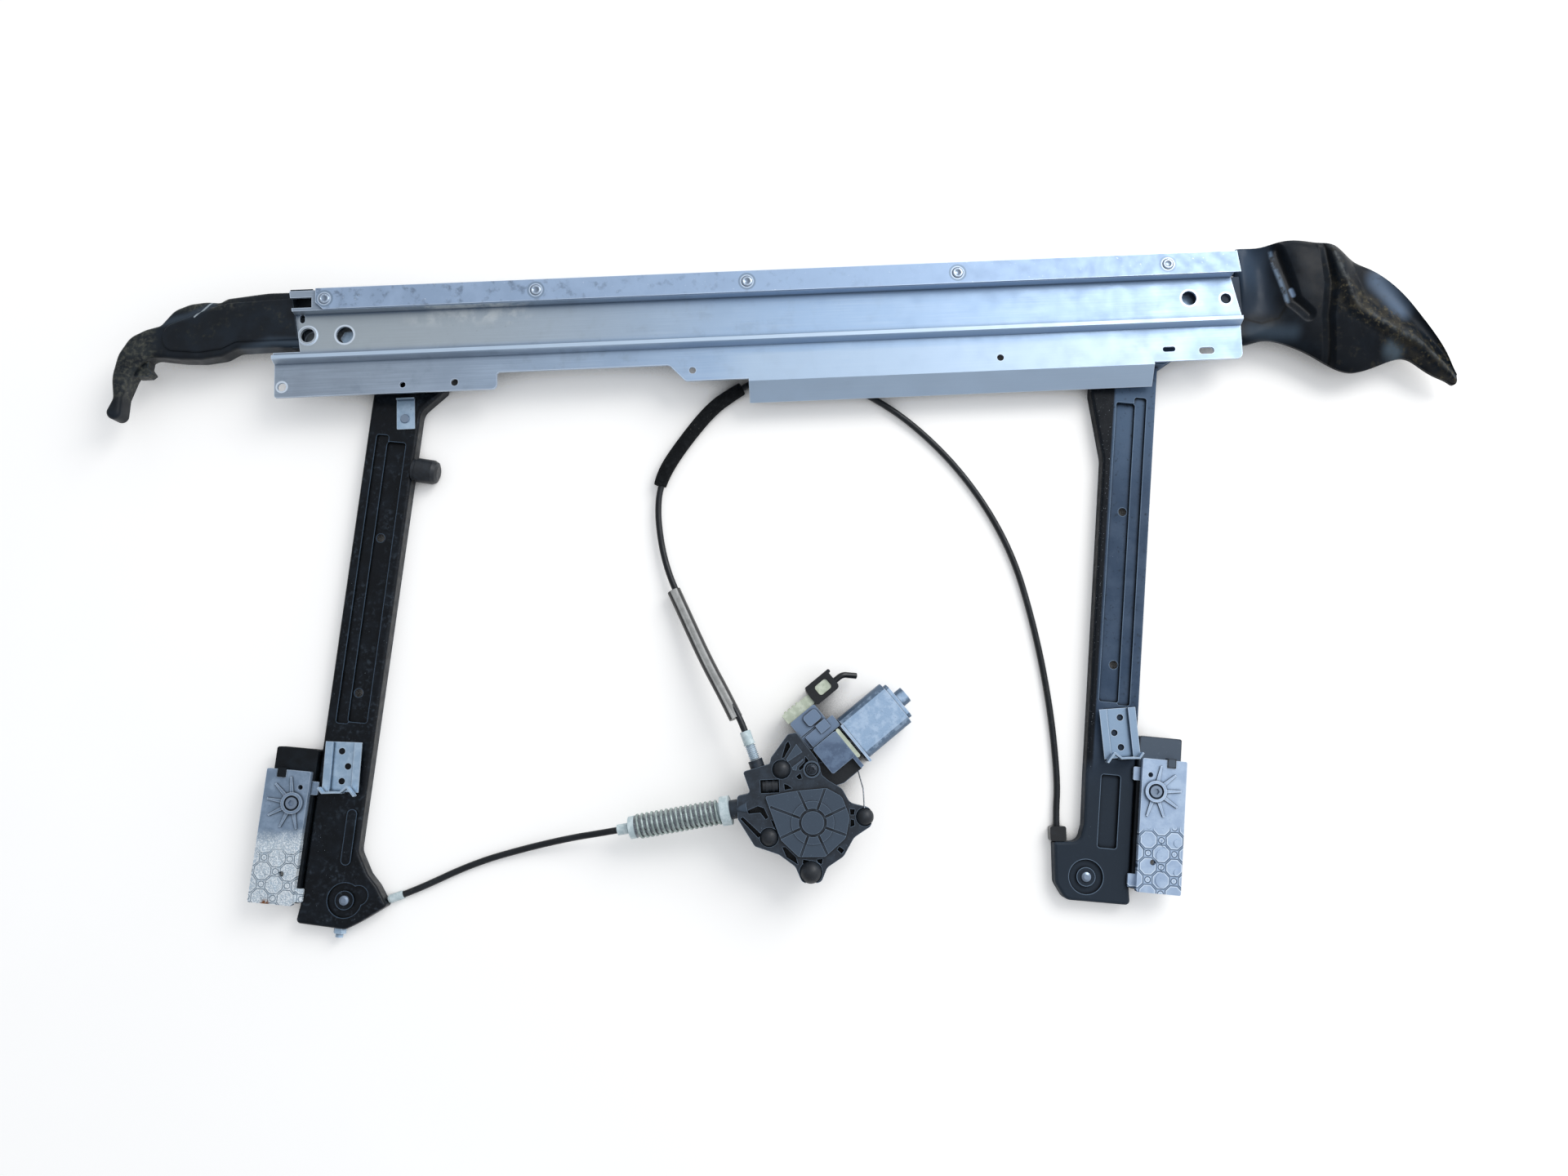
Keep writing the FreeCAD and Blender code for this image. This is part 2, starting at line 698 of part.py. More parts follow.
def guide_rail(side):
    outer = slab(rail_outline[side], floor_z, rail_face)
    rim = [edge for edge in outer.Edges if min(v.Z for v in edge.Vertexes) > rail_face - 0.01]
    outer = outer.makeFillet(rim_round, rim)
    outer = outer.fuse(slab(head_outline(side), floor_z, beam_back))
    flat = Part.Face(rounded_wire(rail_outline[side], floor_z - 1))
    inner = flat.makeOffset2D(-sheet).extrude(vec(0, 0, rail_face - sheet - floor_z + 1))
    hollow = inner.fuse(slab(head_outline(side, sheet), floor_z - 1, beam_back - sheet))
    rail = outer.cut(hollow)

    trays, plugs = [], []
    top = pocket_top[side]
    recesses = [
        (pocket_in, pocket_out, pocket_base, top, pocket_depth),
        (pocket_out - sheet, step_out, pocket_base - 2, top + 6, step_depth),
    ]
    if side == "right":
        recesses.append((*emboss, emboss_depth))
    for sizes in recesses:
        tray, plug = recess(*sizes)
        trays.append(tray)
        plugs.append(plug)
    dish_floor = rail_face - dish_depth
    low_up, high_up = pulley_up
    trays.append(cylinder(pulley_out, low_up, dish_floor - sheet, rail_face - 0.2, dish_r + sheet))
    dish = cylinder(pulley_out, low_up, dish_floor, rail_face + 1, dish_r)
    if side == "left":
        trays.append(cylinder(*lobe_spot, dish_floor - sheet, rail_face - 0.2, lobe_r + sheet))
        dish = dish.fuse(cylinder(*lobe_spot, dish_floor, rail_face + 1, lobe_r))
    plugs.append(dish.cut(cylinder(pulley_out, low_up, dish_floor - 1, rail_face + 2, dish_boss_r)))
    rail = rail.fuse(Part.makeCompound(trays)).cut(Part.makeCompound(plugs))
    if side == "left":
        for out, low, high in bead_spots:
            bead = rounded_box(
                out - bead_width / 2, out + bead_width / 2, low, high, rail_face - 0.5, rail_face + bead_height,
                bead_width * 0.49)
            rail = rail.fuse(bead)

    cuts = [block(rail_half - sheet - 0.1, rail_half + 4, guide_start, head_base, floor_z - 1, rail_face - guide_depth)]
    cuts.append(cylinder(pulley_out, low_up, floor_z, rail_face + 2, pulley_pin_r + bolt_gap))
    cuts.append(cylinder(pulley_out, high_up, floor_z, beam_back + 2, pulley_pin_r + bolt_gap))
    for up in rail_hole_up[side]:
        cuts.append(cylinder(rail_hole_out, up, floor_z, rail_face + 2, rail_hole_r))
    bolt = access_spots[0] if side == "left" else access_spots[1]
    bolt_out, bolt_up = rail_place(side, bolt[0], bolt[1])
    cuts.append(cylinder(bolt_out, bolt_up, beam_back - 5, beam_back + 1, bolt_r + bolt_gap))
    cuts.extend(cable_holes(side))
    if side == "left":
        cuts.append(cylinder(clip_rivet[0], clip_rivet[1], rail_face - 5, rail_face + 1, rivet_r + rivet_gap))
        cuts.append(rod(vec(adjuster_out, -30, adjuster_z), vec(adjuster_out, -18, adjuster_z), adjuster_r - 1.4))
    return rail.cut(Part.makeCompound(cuts)).removeSplitter()


# Cable path in a rail: round the lower pulley, up the middle of the rail and over the upper pulley
wrap_r = groove_root_r + rope_lift + rope_r
rope_out = pulley_out + wrap_r
rope_top = pulley_up[1] + wrap_r
ferrule_spot = {"left": (-51.8, 2.6), "right": (-41.6, 28.6)}


def lower_heading(side):
    """Unit vector along which the cable leaves the lower pulley towards its conduit."""
    to_spot = vec(ferrule_spot[side][0] - pulley_out, ferrule_spot[side][1], 0)
    angle = math.atan2(to_spot.y, to_spot.x) - math.asin(wrap_r / to_spot.Length)
    return vec(math.cos(angle), math.sin(angle), 0)


def lower_start(side):
    """Where the cable comes out of its lower fitting, in the rail's own plan."""
    return vec(ferrule_spot[side][0], ferrule_spot[side][1], cable_z)


def cable_holes(side):
    start = lower_start(side)
    heading = lower_heading(side)
    low = rod(start - heading * 8, start + heading * 8, rope_r + 0.6)
    exit_point = vec(head_inner[side], rope_top, cable_z)
    high = rod(exit_point - vec(5, 0, 0), exit_point + vec(5, 0, 0), rope_r + 0.6)
    return [low, high]


def rail_cable(side):
    start = lower_start(side)
    heading = lower_heading(side)
    centre = vec(pulley_out, 0, cable_z)
    touch = centre + vec(-heading.y, heading.x, 0) * wrap_r
    leave = vec(rope_out, 0, cable_z)
    half = (math.atan2(touch.y, touch.x - pulley_out) % (2 * math.pi) + 2 * math.pi) / 2
    bottom = centre + vec(math.cos(half), math.sin(half), 0) * wrap_r
    upper = vec(pulley_out, pulley_up[1], cable_z)
    corner = math.radians(45)
    over = upper + vec(math.cos(corner), math.sin(corner), 0) * wrap_r
    top = upper + vec(0, wrap_r, 0)
    edges = [
        Part.LineSegment(start, touch).toShape(),
        Part.Arc(touch, bottom, leave).toShape(),
        Part.LineSegment(leave, vec(rope_out, pulley_up[1], cable_z)).toShape(),
        Part.Arc(vec(rope_out, pulley_up[1], cable_z), over, top).toShape(),
        Part.LineSegment(top, vec(head_inner[side] - 0.2, rope_top, cable_z)).toShape(),
    ]
    return pipe(edges, rope_r)


def pulley(up):
    half = pulley_thick / 2
    bore = pulley_pin_r + running_gap
    profile = [
        (bore, -half),
        (pulley_r, -half),
        (pulley_r, -groove_half),
        (groove_root_r, -groove_root_half),
        (groove_root_r, groove_root_half),
        (pulley_r, groove_half),
        (pulley_r, half),
        (bore, half),
    ]
    return turned(profile, vec(pulley_out, up, cable_z), vec(0, 0, 1))


def pulley_rivet(up, sheet_top, sheet_under):
    top = cable_z + pulley_thick / 2 + side_gap
    bottom = cable_z - pulley_thick / 2 - side_gap
    profile = [
        (0, bottom - pin_foot),
        (pin_shoulder_r, bottom - pin_foot),
        (pin_shoulder_r, bottom),
        (pulley_pin_r, bottom),
        (pulley_pin_r, top),
        (pin_shoulder_r, top),
        (pin_shoulder_r, sheet_under),
        (pulley_pin_r, sheet_under),
        (pulley_pin_r, sheet_top),
        (pin_head_r, sheet_top),
        (pin_head_r - 0.4, sheet_top + pin_head * 0.6),
        (pin_head_r * 0.5, sheet_top + pin_head),
        (0, sheet_top + pin_head),
    ]
    return turned(profile, vec(pulley_out, up, 0), vec(0, 0, 1))


clip_rivet = (clip_spot[0], clip_spot[1] - clip_rivet_drop)

for side in ("left", "right"):
    save(side + "_rail", on_rail(guide_rail(side), side))
    save(side + "_rail_cable", on_rail(rail_cable(side), side))
    save(side + "_lower_pulley", on_rail(pulley(pulley_up[0]), side))
    save(side + "_upper_pulley", on_rail(pulley(pulley_up[1]), side))

lower_under = rail_face - dish_depth - sheet
upper_under = beam_back - sheet
rivets = []
for side in ("left", "right"):
    rivets.append(on_rail(pulley_rivet(pulley_up[0], rail_face, lower_under), side))
    short = pulley_rivet(pulley_up[1], upper_under, upper_under)
    short = short.cut(cylinder(pulley_out, pulley_up[1], upper_under, 0, 20))
    short = short.fuse(cylinder(pulley_out, pulley_up[1], upper_under - 1, beam_back, pulley_pin_r))
    rivets.append(on_rail(short, side))
save("pulley_rivets", *rivets)


# Carriers
def carrier_plate():
    high = plate_z + plate_thick
    plate = rounded_box(plate_in, plate_in + plate_width, plate_base, plate_top, plate_z, high, plate_corner)
    adds = [cylinder(hub_spot[0], hub_spot[1], plate_z, high + hub_height, hub_r)]
    for i in range(ray_count):
        angle = ray_start - i * ray_step
        outer = hub_r + ray_length - 8.0
        if abs(math.cos(math.radians(angle))) > 0.9:
            outer = hub_r + ray_length - 8.5
        ray = slab(
            [(hub_r - 1, -ray_wide / 2), (outer, -ray_narrow / 2), (outer, ray_narrow / 2), (hub_r - 1, ray_wide / 2)],
            high - 0.5, high + ray_height)
        ray.rotate(vec(0, 0, 0), vec(0, 0, 1), angle)
        ray.translate(vec(hub_spot[0], hub_spot[1], 0))
        adds.append(ray)
    for out, up, radius in boss_discs:
        adds.append(cylinder(out, up, high - 0.5, high + disc_height, radius))
    for low in ear_base:
        adds.append(rounded_box(
            ear_in, ear_out, low, low + ear_length, rail_face + ear_gap, rail_face + bracket_rise - ear_under, 1.2))
    plate = plate.fuse(Part.makeCompound(adds))
    well = cylinder(hub_spot[0], hub_spot[1], high - 1.0, high + hub_height + 1, hub_well_r)
    cuts = [well, cylinder(hub_spot[0], hub_spot[1], plate_z - 1, high + 5, clamp_r + 0.3)]
    for out, up, radius in plate_holes:
        cuts.append(cylinder(out, up, plate_z - 4, high + 3, radius))
    cuts.append(block(notch[0], notch[1], notch[2], plate_top + 2, plate_z - 1, high + 5))
    return plate.cut(Part.makeCompound(cuts)).removeSplitter()


def slider():
    """Plastic slider: a channel that grips the guide edge, with an arm that carries the cable."""
    under = floor_z + slider_floor
    hook_out = rail_half + slider_gap
    hook_in = rail_half - sheet - slider_gap
    hook_low = rail_face - guide_depth - slider_gap
    lip_top = rail_face - sheet - 2.0
    arm_z = rail_face - pocket_depth - sheet - slider_gap - 0.2
    lip_in = step_out + sheet + 0.6
    body = slab([
        (lip_in, slider_base), (plate_in + 9, slider_base), (plate_in + 9, jaw_base - notch_gap),
        (plate_in + 3, jaw_base - notch_gap), (plate_in + 3, slider_top), (lip_in, slider_top)], under, plate_z)
    slot = block(hook_in, hook_out, slider_base - 1, slider_top + 1, hook_low, plate_z + 1)
    over = block(lip_in - 1, hook_out, slider_base - 1, slider_top + 1, lip_top, plate_z + 1)
    arm = block(arm_end, lip_in + 1, arm_base, arm_top, under, arm_z)
    cable_slot = block(rope_out - 1.6, rope_out + 1.6, arm_base - 1, arm_top + 1, under - 1, cable_z + 1.6)
    body = body.cut(slot).cut(over)
    for low in ear_base:
        body = body.cut(block(
            lip_in - 1, ear_out + seat_gap, low - seat_gap, low + ear_length + seat_gap,
            rail_face + ear_gap - seat_gap, plate_z + 1))
    return body.fuse(arm).cut(cable_slot).removeSplitter()


def jaw():
    """Moulded clamp that grips the glass, with its slot open at the top."""
    narrow_in = plate_in + 3 + notch_gap
    shoulder = ear_base[1] + ear_length + seat_gap
    front = plate_z
    body = slab([
        (narrow_in, jaw_base), (jaw_out, jaw_base, 2), (jaw_out, jaw_top, 2), (jaw_in, jaw_top, 2),
        (jaw_in, shoulder), (narrow_in, shoulder)], jaw_back, front)
    low = glass_slot_z
    opening = block(jaw_in - 2, jaw_out + 2, glass_slot_base, jaw_top + 1, low, low + glass_slot)
    end_wall = 2.0
    sides = block(jaw_in - 3, jaw_in + end_wall, glass_slot_base - 1, jaw_top + 2, low - 1, low + glass_slot + 1)
    other = block(jaw_out - end_wall, jaw_out + 3, glass_slot_base - 1, jaw_top + 2, low - 1, low + glass_slot + 1)
    opening = opening.cut(sides).cut(other)
    tab = block(
        notch[0] + notch_gap, notch[1] - notch_gap, notch[2] + notch_gap, plate_top + 1.5, plate_z - 1,
        plate_z + plate_thick + 1.0)
    bore = cylinder(hub_spot[0], hub_spot[1], jaw_back - 1, front + 1, clamp_r + 0.3)
    return body.cut(opening).fuse(tab).cut(bore).removeSplitter()


def clamp_screw():
    seat = plate_z + plate_thick - 1.0
    x, y = hub_spot
    shank = cylinder(x, y, jaw_back + 3.5, seat + 1, clamp_r)
    head = cylinder(x, y, seat, seat + clamp_head, clamp_head_r)
    socket = hexagon(x, y, seat + 1.6, seat + clamp_head + 1, 5.0)
    return shank.fuse(head).cut(socket)


for side in ("left", "right"):
    save(side + "_carrier_plate", on_rail(carrier_plate(), side))
    save(side + "_slider", on_rail(slider(), side))
    save(side + "_glass_jaw", on_rail(jaw(), side))
    save(side + "_clamp_screw", on_rail(clamp_screw(), side))


# Fixed fittings on the rails
def ribbon(path, thick, z_low, z_high):
    """Standing strip along an open plan path."""
    pieces = []
    for (x0, y0), (x1, y1) in zip(path, path[1:]):
        length = math.hypot(x1 - x0, y1 - y0)
        piece = block(0, length, -thick / 2, thick / 2, z_low, z_high)
        piece.rotate(vec(0, 0, 0), vec(0, 0, 1), math.degrees(math.atan2(y1 - y0, x1 - x0)))
        piece.translate(vec(x0, y0, 0))
        pieces.append(piece)
    for x, y in path[1:-1]:
        pieces.append(cylinder(x, y, z_low, z_high, thick / 2))
    return fused(pieces)


def stop_bracket(side):
    half = bracket_width / 2
    inner = half - bracket_side
    low, high = rail_face, rail_face + bracket_rise + bracket_sheet
    reach = bracket_length / 2
    section = [
        (-half, high - bracket_sheet), (-inner - bracket_sheet, high - bracket_sheet), (-inner - bracket_sheet, low),
        (inner + bracket_sheet, low), (inner + bracket_sheet, high - bracket_sheet), (half, high - bracket_sheet),
        (half, high), (inner, high), (inner, low + bracket_sheet), (-inner, low + bracket_sheet), (-inner, high),
        (-half, high)]
    corners = [vec(p, -reach, z) for p, z in section]
    channel = Part.Face(Part.makePolygon(corners + corners[:1])).extrude(vec(0, bracket_length, 0))
    lug = [(p, q - reach) for p, q in lug_path]
    standing = ribbon(lug, bracket_sheet, lug_start, lug_start + lug_height)
    riser = block(-3.0, lug_low, -reach - 1.3, -reach + 0.5, low, lug_start + 1)
    bracket = fused([channel, standing, riser])
    for p, q in bracket_holes:
        bracket = bracket.cut(cylinder(p, q, low - 1, high + 1, bracket_hole_r))
    bracket.rotate(vec(0, 0, 0), vec(0, 0, 1), bracket_turn[side])
    bracket.translate(vec(bracket_spot[side][0], bracket_spot[side][1], 0))
    return on_rail(bracket, side)


def rail_clip():
    half_wide, half_long = clip_size[0] / 2, clip_size[1] / 2
    plate = rounded_box(-half_wide, half_wide, -half_long, half_long, rail_face, rail_face + clip_sheet, 1.0)
    hook = block(-half_wide, half_wide, half_long - clip_sheet, half_long, rail_face, rail_face + 4.0)
    clip = plate.fuse(hook)
    clip.rotate(vec(0, 0, 0), vec(0, 0, 1), -clip_turn)
    clip.translate(vec(clip_spot[0], clip_spot[1], 0))
    return clip.cut(cylinder(clip_rivet[0], clip_rivet[1], rail_face - 1, rail_face + 3, rivet_r + rivet_gap))


def rail_buffer():
    wall = -rail_half - 0.05
    z = floor_z + buffer_r + 0.3
    profile = [
        (0, 0),
        (buffer_r - 1.5, 0),
        (buffer_r - 1.5, 3.0),
        (buffer_r, 4.0),
        (buffer_r, buffer_length - 5.0),
        (buffer_r - 1.6, buffer_length - 1.6),
        (buffer_r - 5.0, buffer_length),
        (0, buffer_length),
    ]
    return turned(profile, vec(wall, buffer_up, z), vec(-1, -0.06, 0))


def tilt_adjuster():
    base = -24.6
    stud = rod(vec(adjuster_out, -19.0, adjuster_z), vec(adjuster_out, base - adjuster_length, adjuster_z),
               adjuster_r - 1.6)
    nut = hexagon(0, 0, 0, 4.5, 2 * adjuster_r)
    nut.rotate(vec(0, 0, 0), vec(1, 0, 0), 90)
    nut.translate(vec(adjuster_out, base - 0.9, adjuster_z))
    return stud.fuse(nut)


for side in ("left", "right"):
    save(side + "_stop_bracket", stop_bracket(side))
save("rail_clip", on_rail(rail_clip(), "left"))
save("rail_clip_rivet", on_rail(
    blind_rivet(clip_rivet[0], clip_rivet[1], rail_face - sheet, rail_face + clip_sheet, clip_rivet_head_r), "left"))
save("rail_buffer", on_rail(rail_buffer(), "left"))
save("tilt_adjuster", on_rail(tilt_adjuster(), "left"))


# Gear motor and drum
def at_drum(shape):
    placed = shape.copy()
    placed.translate(vec(drum_spot[0], drum_spot[1], 0))
    return placed


def at_motor(shape):
    """Place a shape drawn with X along the armature, from the drum's axis."""
    placed = shape.copy()
    placed.rotate(vec(0, 0, 0), vec(0, 0, 1), motor_turn)
    return at_drum(placed)


wheel_pitch_r = gear_module * wheel_teeth / 2
worm_side = wheel_pitch_r + worm_pitch_r

housing_plan = [
    (-66.0, 5.5, 2), (-52.0, -18.5, 4), (-31.0, -26.5, 8), (-17.0, -37.5, 8), (-11.5, -52.0, 6), (5.0, -52.5, 6),
    (11.0, -39.5, 8), (26.0, -30.5, 10), (36.0, -14.5, 10), (52.0, -5.0, 6), (53.5, 10.0, 6), (34.0, 15.5, 10),
    (27.5, 28.5, 8), (16.5, 35.5, 6), (10.0, 41.0, 4), (6.5, 55.0, 5), (-11.0, 79.5, 2), (-18.5, 78.5, 2),
    (-34.5, 58.5, 4), (-36.0, 53.0, 2), (-60.0, 47.0, 2), (-54.0, 28.0, 3), (-66.0, 25.8, 2),
]
cover_plan = [
    (-41.0, 24.4, 1.5), (-28.5, -14.0, 3), (-13.8, -29.0, 5), (9.5, -30.0, 5), (28.5, -14.5, 8), (33.0, 3.5, 10),
    (26.8, 21.8, 8), (13.8, 29.6, 6), (-10.5, 28.5, 3), (-24.3, 27.0, 2),
]
spring_heading = (vec(*spring_end) - vec(*spring_start)).normalize()
upper_heading = vec(0.298, -0.954, 0.0).normalize()
upper_tip = vec(-49.0, 57.0, drum_z)


# Open pockets between the housing's ribs, and the raised panels of its upper arm
housing_pockets = (
    ((-64.0, 6.0), (-61.5, 7.5), (-46.0, -8.0), (-48.5, -11.5)),
    ((-58.5, 12.5), (-48.0, 16.5), (-42.5, 14.5), (-38.8, 6.0), (-41.5, 4.5), (-46.0, 10.5), (-56.0, 10.0)),
    ((-37.0, 4.0), (-34.6, 3.0), (-30.3, -10.5), (-31.2, -8.5), (-35.0, -1.5)),
    ((-28.0, -20.0), (-24.8, -20.2), (-16.0, -29.5), (-14.5, -36.0), (-24.5, -29.0)),
    ((-10.0, -31.6), (-4.8, -32.6), (-5.0, -34.0), (-8.5, -35.5), (-10.5, -35.0)),
    ((2.0, -32.0), (7.5, -31.6), (6.5, -36.5), (3.0, -35.0)),
    ((22.5, -21.5), (27.0, -25.0), (24.3, -28.2), (20.5, -24.5)),
    ((33.4, 10.5), (38.0, 10.0), (37.0, 5.2), (33.6, 5.4)),
    ((33.6, 1.6), (36.8, 0.8), (37.0, -4.0), (33.0, -5.5)),
    ((-24.0, 35.0), (-21.0, 34.0), (-16.5, 30.6), (-23.6, 29.4)),
    ((-25.2, 57.2), (-22.6, 58.0), (-16.7, 67.6), (-18.4, 72.5), (-20.9, 69.9)),
    ((-4.0, 58.4), (-1.2, 54.6), (-1.3, 51.8), (-9.6, 45.6), (-10.2, 48.5), (-4.9, 53.3)),
    ((-13.0, 40.7), (-9.0, 43.8), (-7.6, 38.9), (-10.6, 38.2)),
)
arm_panels = (
    ((-21.0, 56.5), (-11.5, 69.5), (-6.4, 62.2), (-19.6, 54.2)),
    ((-16.2, 49.0), (-5.7, 56.4), (-6.2, 54.4), (-11.4, 50.0), (-12.4, 46.2), (-15.6, 46.6)),
)
panel_rise = 0.7
elbow_pocket = ((-45.0, 39.2), (-28.2, 39.2), (-28.2, 27.4), (-45.0, 27.4))
elbow_floor = 8.6
elbow_r = 4.8
elbow_ends = ((-43.0, 33.3), (-29.4, 33.3))
elbow_z = 0.2
boss_groove = (4.9, 6.3)
boss_groove_depth = 3.0


def drum_room():
    """Room for the drum inside the housing's wall, open at the top."""
    wall = Part.Face(rounded_wire(cover_plan, housing_floor + housing_floor_thick))
    return wall.makeOffset2D(-housing_wall).extrude(vec(0, 0, 20))


def drum_housing():
    body = slab(housing_plan, housing_floor, housing_top)
    boss = cylinder(boss_spot[0], boss_spot[1], housing_floor, housing_top + boss_rise, boss_r)
    for plan in housing_pockets:
        body = body.cut(slab(plan, housing_floor + pocket_floor, housing_top + 1))
    body = body.cut(slab(elbow_pocket, housing_top - elbow_floor, housing_top + 1))
    for plan in arm_panels:
        body = body.fuse(slab(plan, housing_top - 1, housing_top + panel_rise))
    ring = cylinder(boss_spot[0], boss_spot[1], housing_top + boss_rise - boss_groove_depth, housing_top + 9,
                    boss_groove[1])
    ring = ring.cut(cylinder(boss_spot[0], boss_spot[1], 0, housing_top + 10, boss_groove[0]))
    spring_side = vec(*spring_end) + spring_heading * seat_thick
    inlet = rod(spring_side, spring_side + spring_heading * 16, inlet_r)
    upper_inlet = rod(upper_tip, upper_tip + upper_heading * 18, 6.5)
    body = body.fuse(boss).fuse(inlet).fuse(upper_inlet)
    cuts = [ring, drum_room(), cylinder(0, 0, housing_floor - 1, housing_top, spindle_r + 3.0)]
    for x, y, radius in ball_spots:
        cuts.append(cylinder(x, y, housing_floor - 1, housing_top + 5, ball_stem_r + bolt_gap))
        cuts.append(cylinder(x, y, ball_z - radius * ball_flat, housing_top + 5, radius + bolt_gap))
    cuts.append(cylinder(boss_spot[0], boss_spot[1], housing_floor - 1, housing_top + 5, boss_screw_r + bolt_gap))
    cuts.append(rod(spring_side - spring_heading * 2, spring_side + spring_heading * 60, rope_r + 1.0))
    cuts.append(rod(upper_tip - upper_heading * 2, upper_tip + upper_heading * 40, rope_r + 1.0))
    for cut in cuts:
        body = body.cut(cut)
    return body.removeSplitter()


def inlet_elbow():
    """Rubber boot over the upper cable inlet."""
    start, end = [vec(x, y, elbow_z) for x, y in elbow_ends]
    along = (end - start).normalize()
    boot = rod(start, end, elbow_r)
    for step in (0.2, 0.62):
        spot = start + (end - start) * step
        boot = boot.fuse(rod(spot, spot + along * 2.4, elbow_r + 0.7))
    return boot


def drum_cover():
    low, high = housing_top, housing_top + cover_thick
    cover = slab(cover_plan, low, high)
    hub = cylinder(0, 0, high - 0.5, high + cover_rib, cover_hub_r)
    ring = cylinder(0, 0, high - 0.5, high + cover_rib * 0.6, cover_ring_r)
    cover = fused([cover, hub, ring])
    grooves = []
    for i in range(8):
        angle = 22.5 + i * 45.0
        groove = block(cover_hub_r + 1.5, 40.0, -1.1, 1.1, high - 1.0, high + 5)
        groove.rotate(vec(0, 0, 0), vec(0, 0, 1), angle)
        grooves.append(groove)
    race = cylinder(0, 0, high - 0.8, high + 5, cover_hub_r + 2.4).cut(
        cylinder(0, 0, high - 2, high + 6, cover_hub_r))
    grooves.append(race)
    return cover.cut(Part.makeCompound(grooves)).removeSplitter()


def ball_mount(x, y, radius):
    """Rubber ball on a stem that is pushed through an arm of the drum housing."""
    ball = Part.makeSphere(radius, vec(x, y, ball_z))
    ball = ball.cut(block(x - 20, x + 20, y - 20, y + 20, ball_z - 20, ball_z - radius * ball_flat))
    stem = cylinder(x, y, housing_floor - 1.5, ball_z, ball_stem_r)
    foot = cylinder(x, y, housing_floor - 3.0, housing_floor, ball_stem_r + 1.8)
    return fused([ball, stem, foot])


def cable_drum():
    low = drum_z - drum_height / 2
    high = drum_z + drum_height / 2
    pitch = (drum_height - 2.0) / drum_turns
    profile = [(spindle_r + running_gap, low), (drum_r + 1.5, low), (drum_r + 1.5, low + 0.8)]
    for i in range(drum_turns):
        base = low + 1.0 + i * pitch
        profile.append((drum_r, base))
        profile.append((drum_r - 1.0, base + pitch / 2))
    profile.append((drum_r, high - 1.0))
    profile.append((drum_r + 1.5, high - 0.8))
    profile.append((drum_r + 1.5, high))
    profile.append((spindle_r + running_gap, high))
    drum = turned(profile, vec(0, 0, 0), vec(0, 0, 1))
    windows = []
    for i in range(6):
        window = cylinder(drum_core_r - 4.0, 0, low + 2, high + 1, 3.2)
        window.rotate(vec(0, 0, 0), vec(0, 0, 1), 60 * i)
        windows.append(window)
    return drum.cut(Part.makeCompound(windows))


def worm_wheel():
    """Toothed wheel with the splined shaft that drives the drum."""
    tip = wheel_pitch_r + gear_module * 0.9
    root = wheel_pitch_r - gear_module * 1.1
    points = []
    for i in range(wheel_teeth):
        base = 360.0 / wheel_teeth * i
        for offset, radius in ((-0.30, root), (-0.14, tip), (0.14, tip), (0.30, root)):
            angle = math.radians(base + offset * 360.0 / wheel_teeth)
            points.append((radius * math.cos(angle), radius * math.sin(angle)))
    low = worm_z - wheel_thick / 2
    wheel = slab(points, low, low + wheel_thick)
    dish = cylinder(0, 0, low + wheel_thick - 2.5, low + wheel_thick + 1, wheel_pitch_r - 4.5)
    hub = cylinder(0, 0, low, gear_top - 1.2, spindle_r + 4.0)
    shaft = cylinder(0, 0, low - 1.8, housing_top - 0.6, spindle_r)
    return fused([wheel.cut(dish), hub, shaft])


def gear_housing():
    pot_r = wheel_pitch_r + gear_module + wheel_gap + gear_wall
    pot = cylinder(0, 0, gear_base, gear_top, pot_r)
    worm_r = worm_pitch_r + gear_module + worm_gap
    tube_r = worm_r + gear_wall
    tube = rod(vec(-26.0, worm_side, worm_z), vec(block_along[0] + 2, worm_side, worm_z), tube_r)
    cube = rounded_box(
        block_along[0], block_along[1], block_side[0], block_side[1], block_z[0], block_z[1], 2.0)
    skirt = slab([(8, 22, 0), (44, 8, 3), (66, 8, 2), (66, 22, 2), (30, 40, 0)], gear_base + 2, gear_top)
    flange = rounded_box(
        block_along[1] - 3.0, block_along[1] + 0.5, worm_side - flange_half, worm_side + 15.5,
        worm_z - can_thick / 2, worm_z + can_thick / 2 - 1.0, 0.8)
    body = fused([pot, tube, cube, skirt, flange])
    wheel_room = cylinder(0, 0, worm_z - wheel_thick / 2 - 1.0, gear_top - 1.0, wheel_pitch_r + gear_module + wheel_gap)
    worm_room = rod(vec(-24.0, worm_side, worm_z), vec(block_along[1] + 8, worm_side, worm_z), worm_r)
    shaft_hole = cylinder(0, 0, worm_z, gear_top + 1, spindle_r + 1.5)
    pin_hole = cylinder(0, 0, worm_z - wheel_thick / 2 - 3.2, worm_z, spindle_r + running_gap)
    cuts = [wheel_room, worm_room, shaft_hole, pin_hole]
    return body.cut(Part.makeCompound(cuts)).removeSplitter()


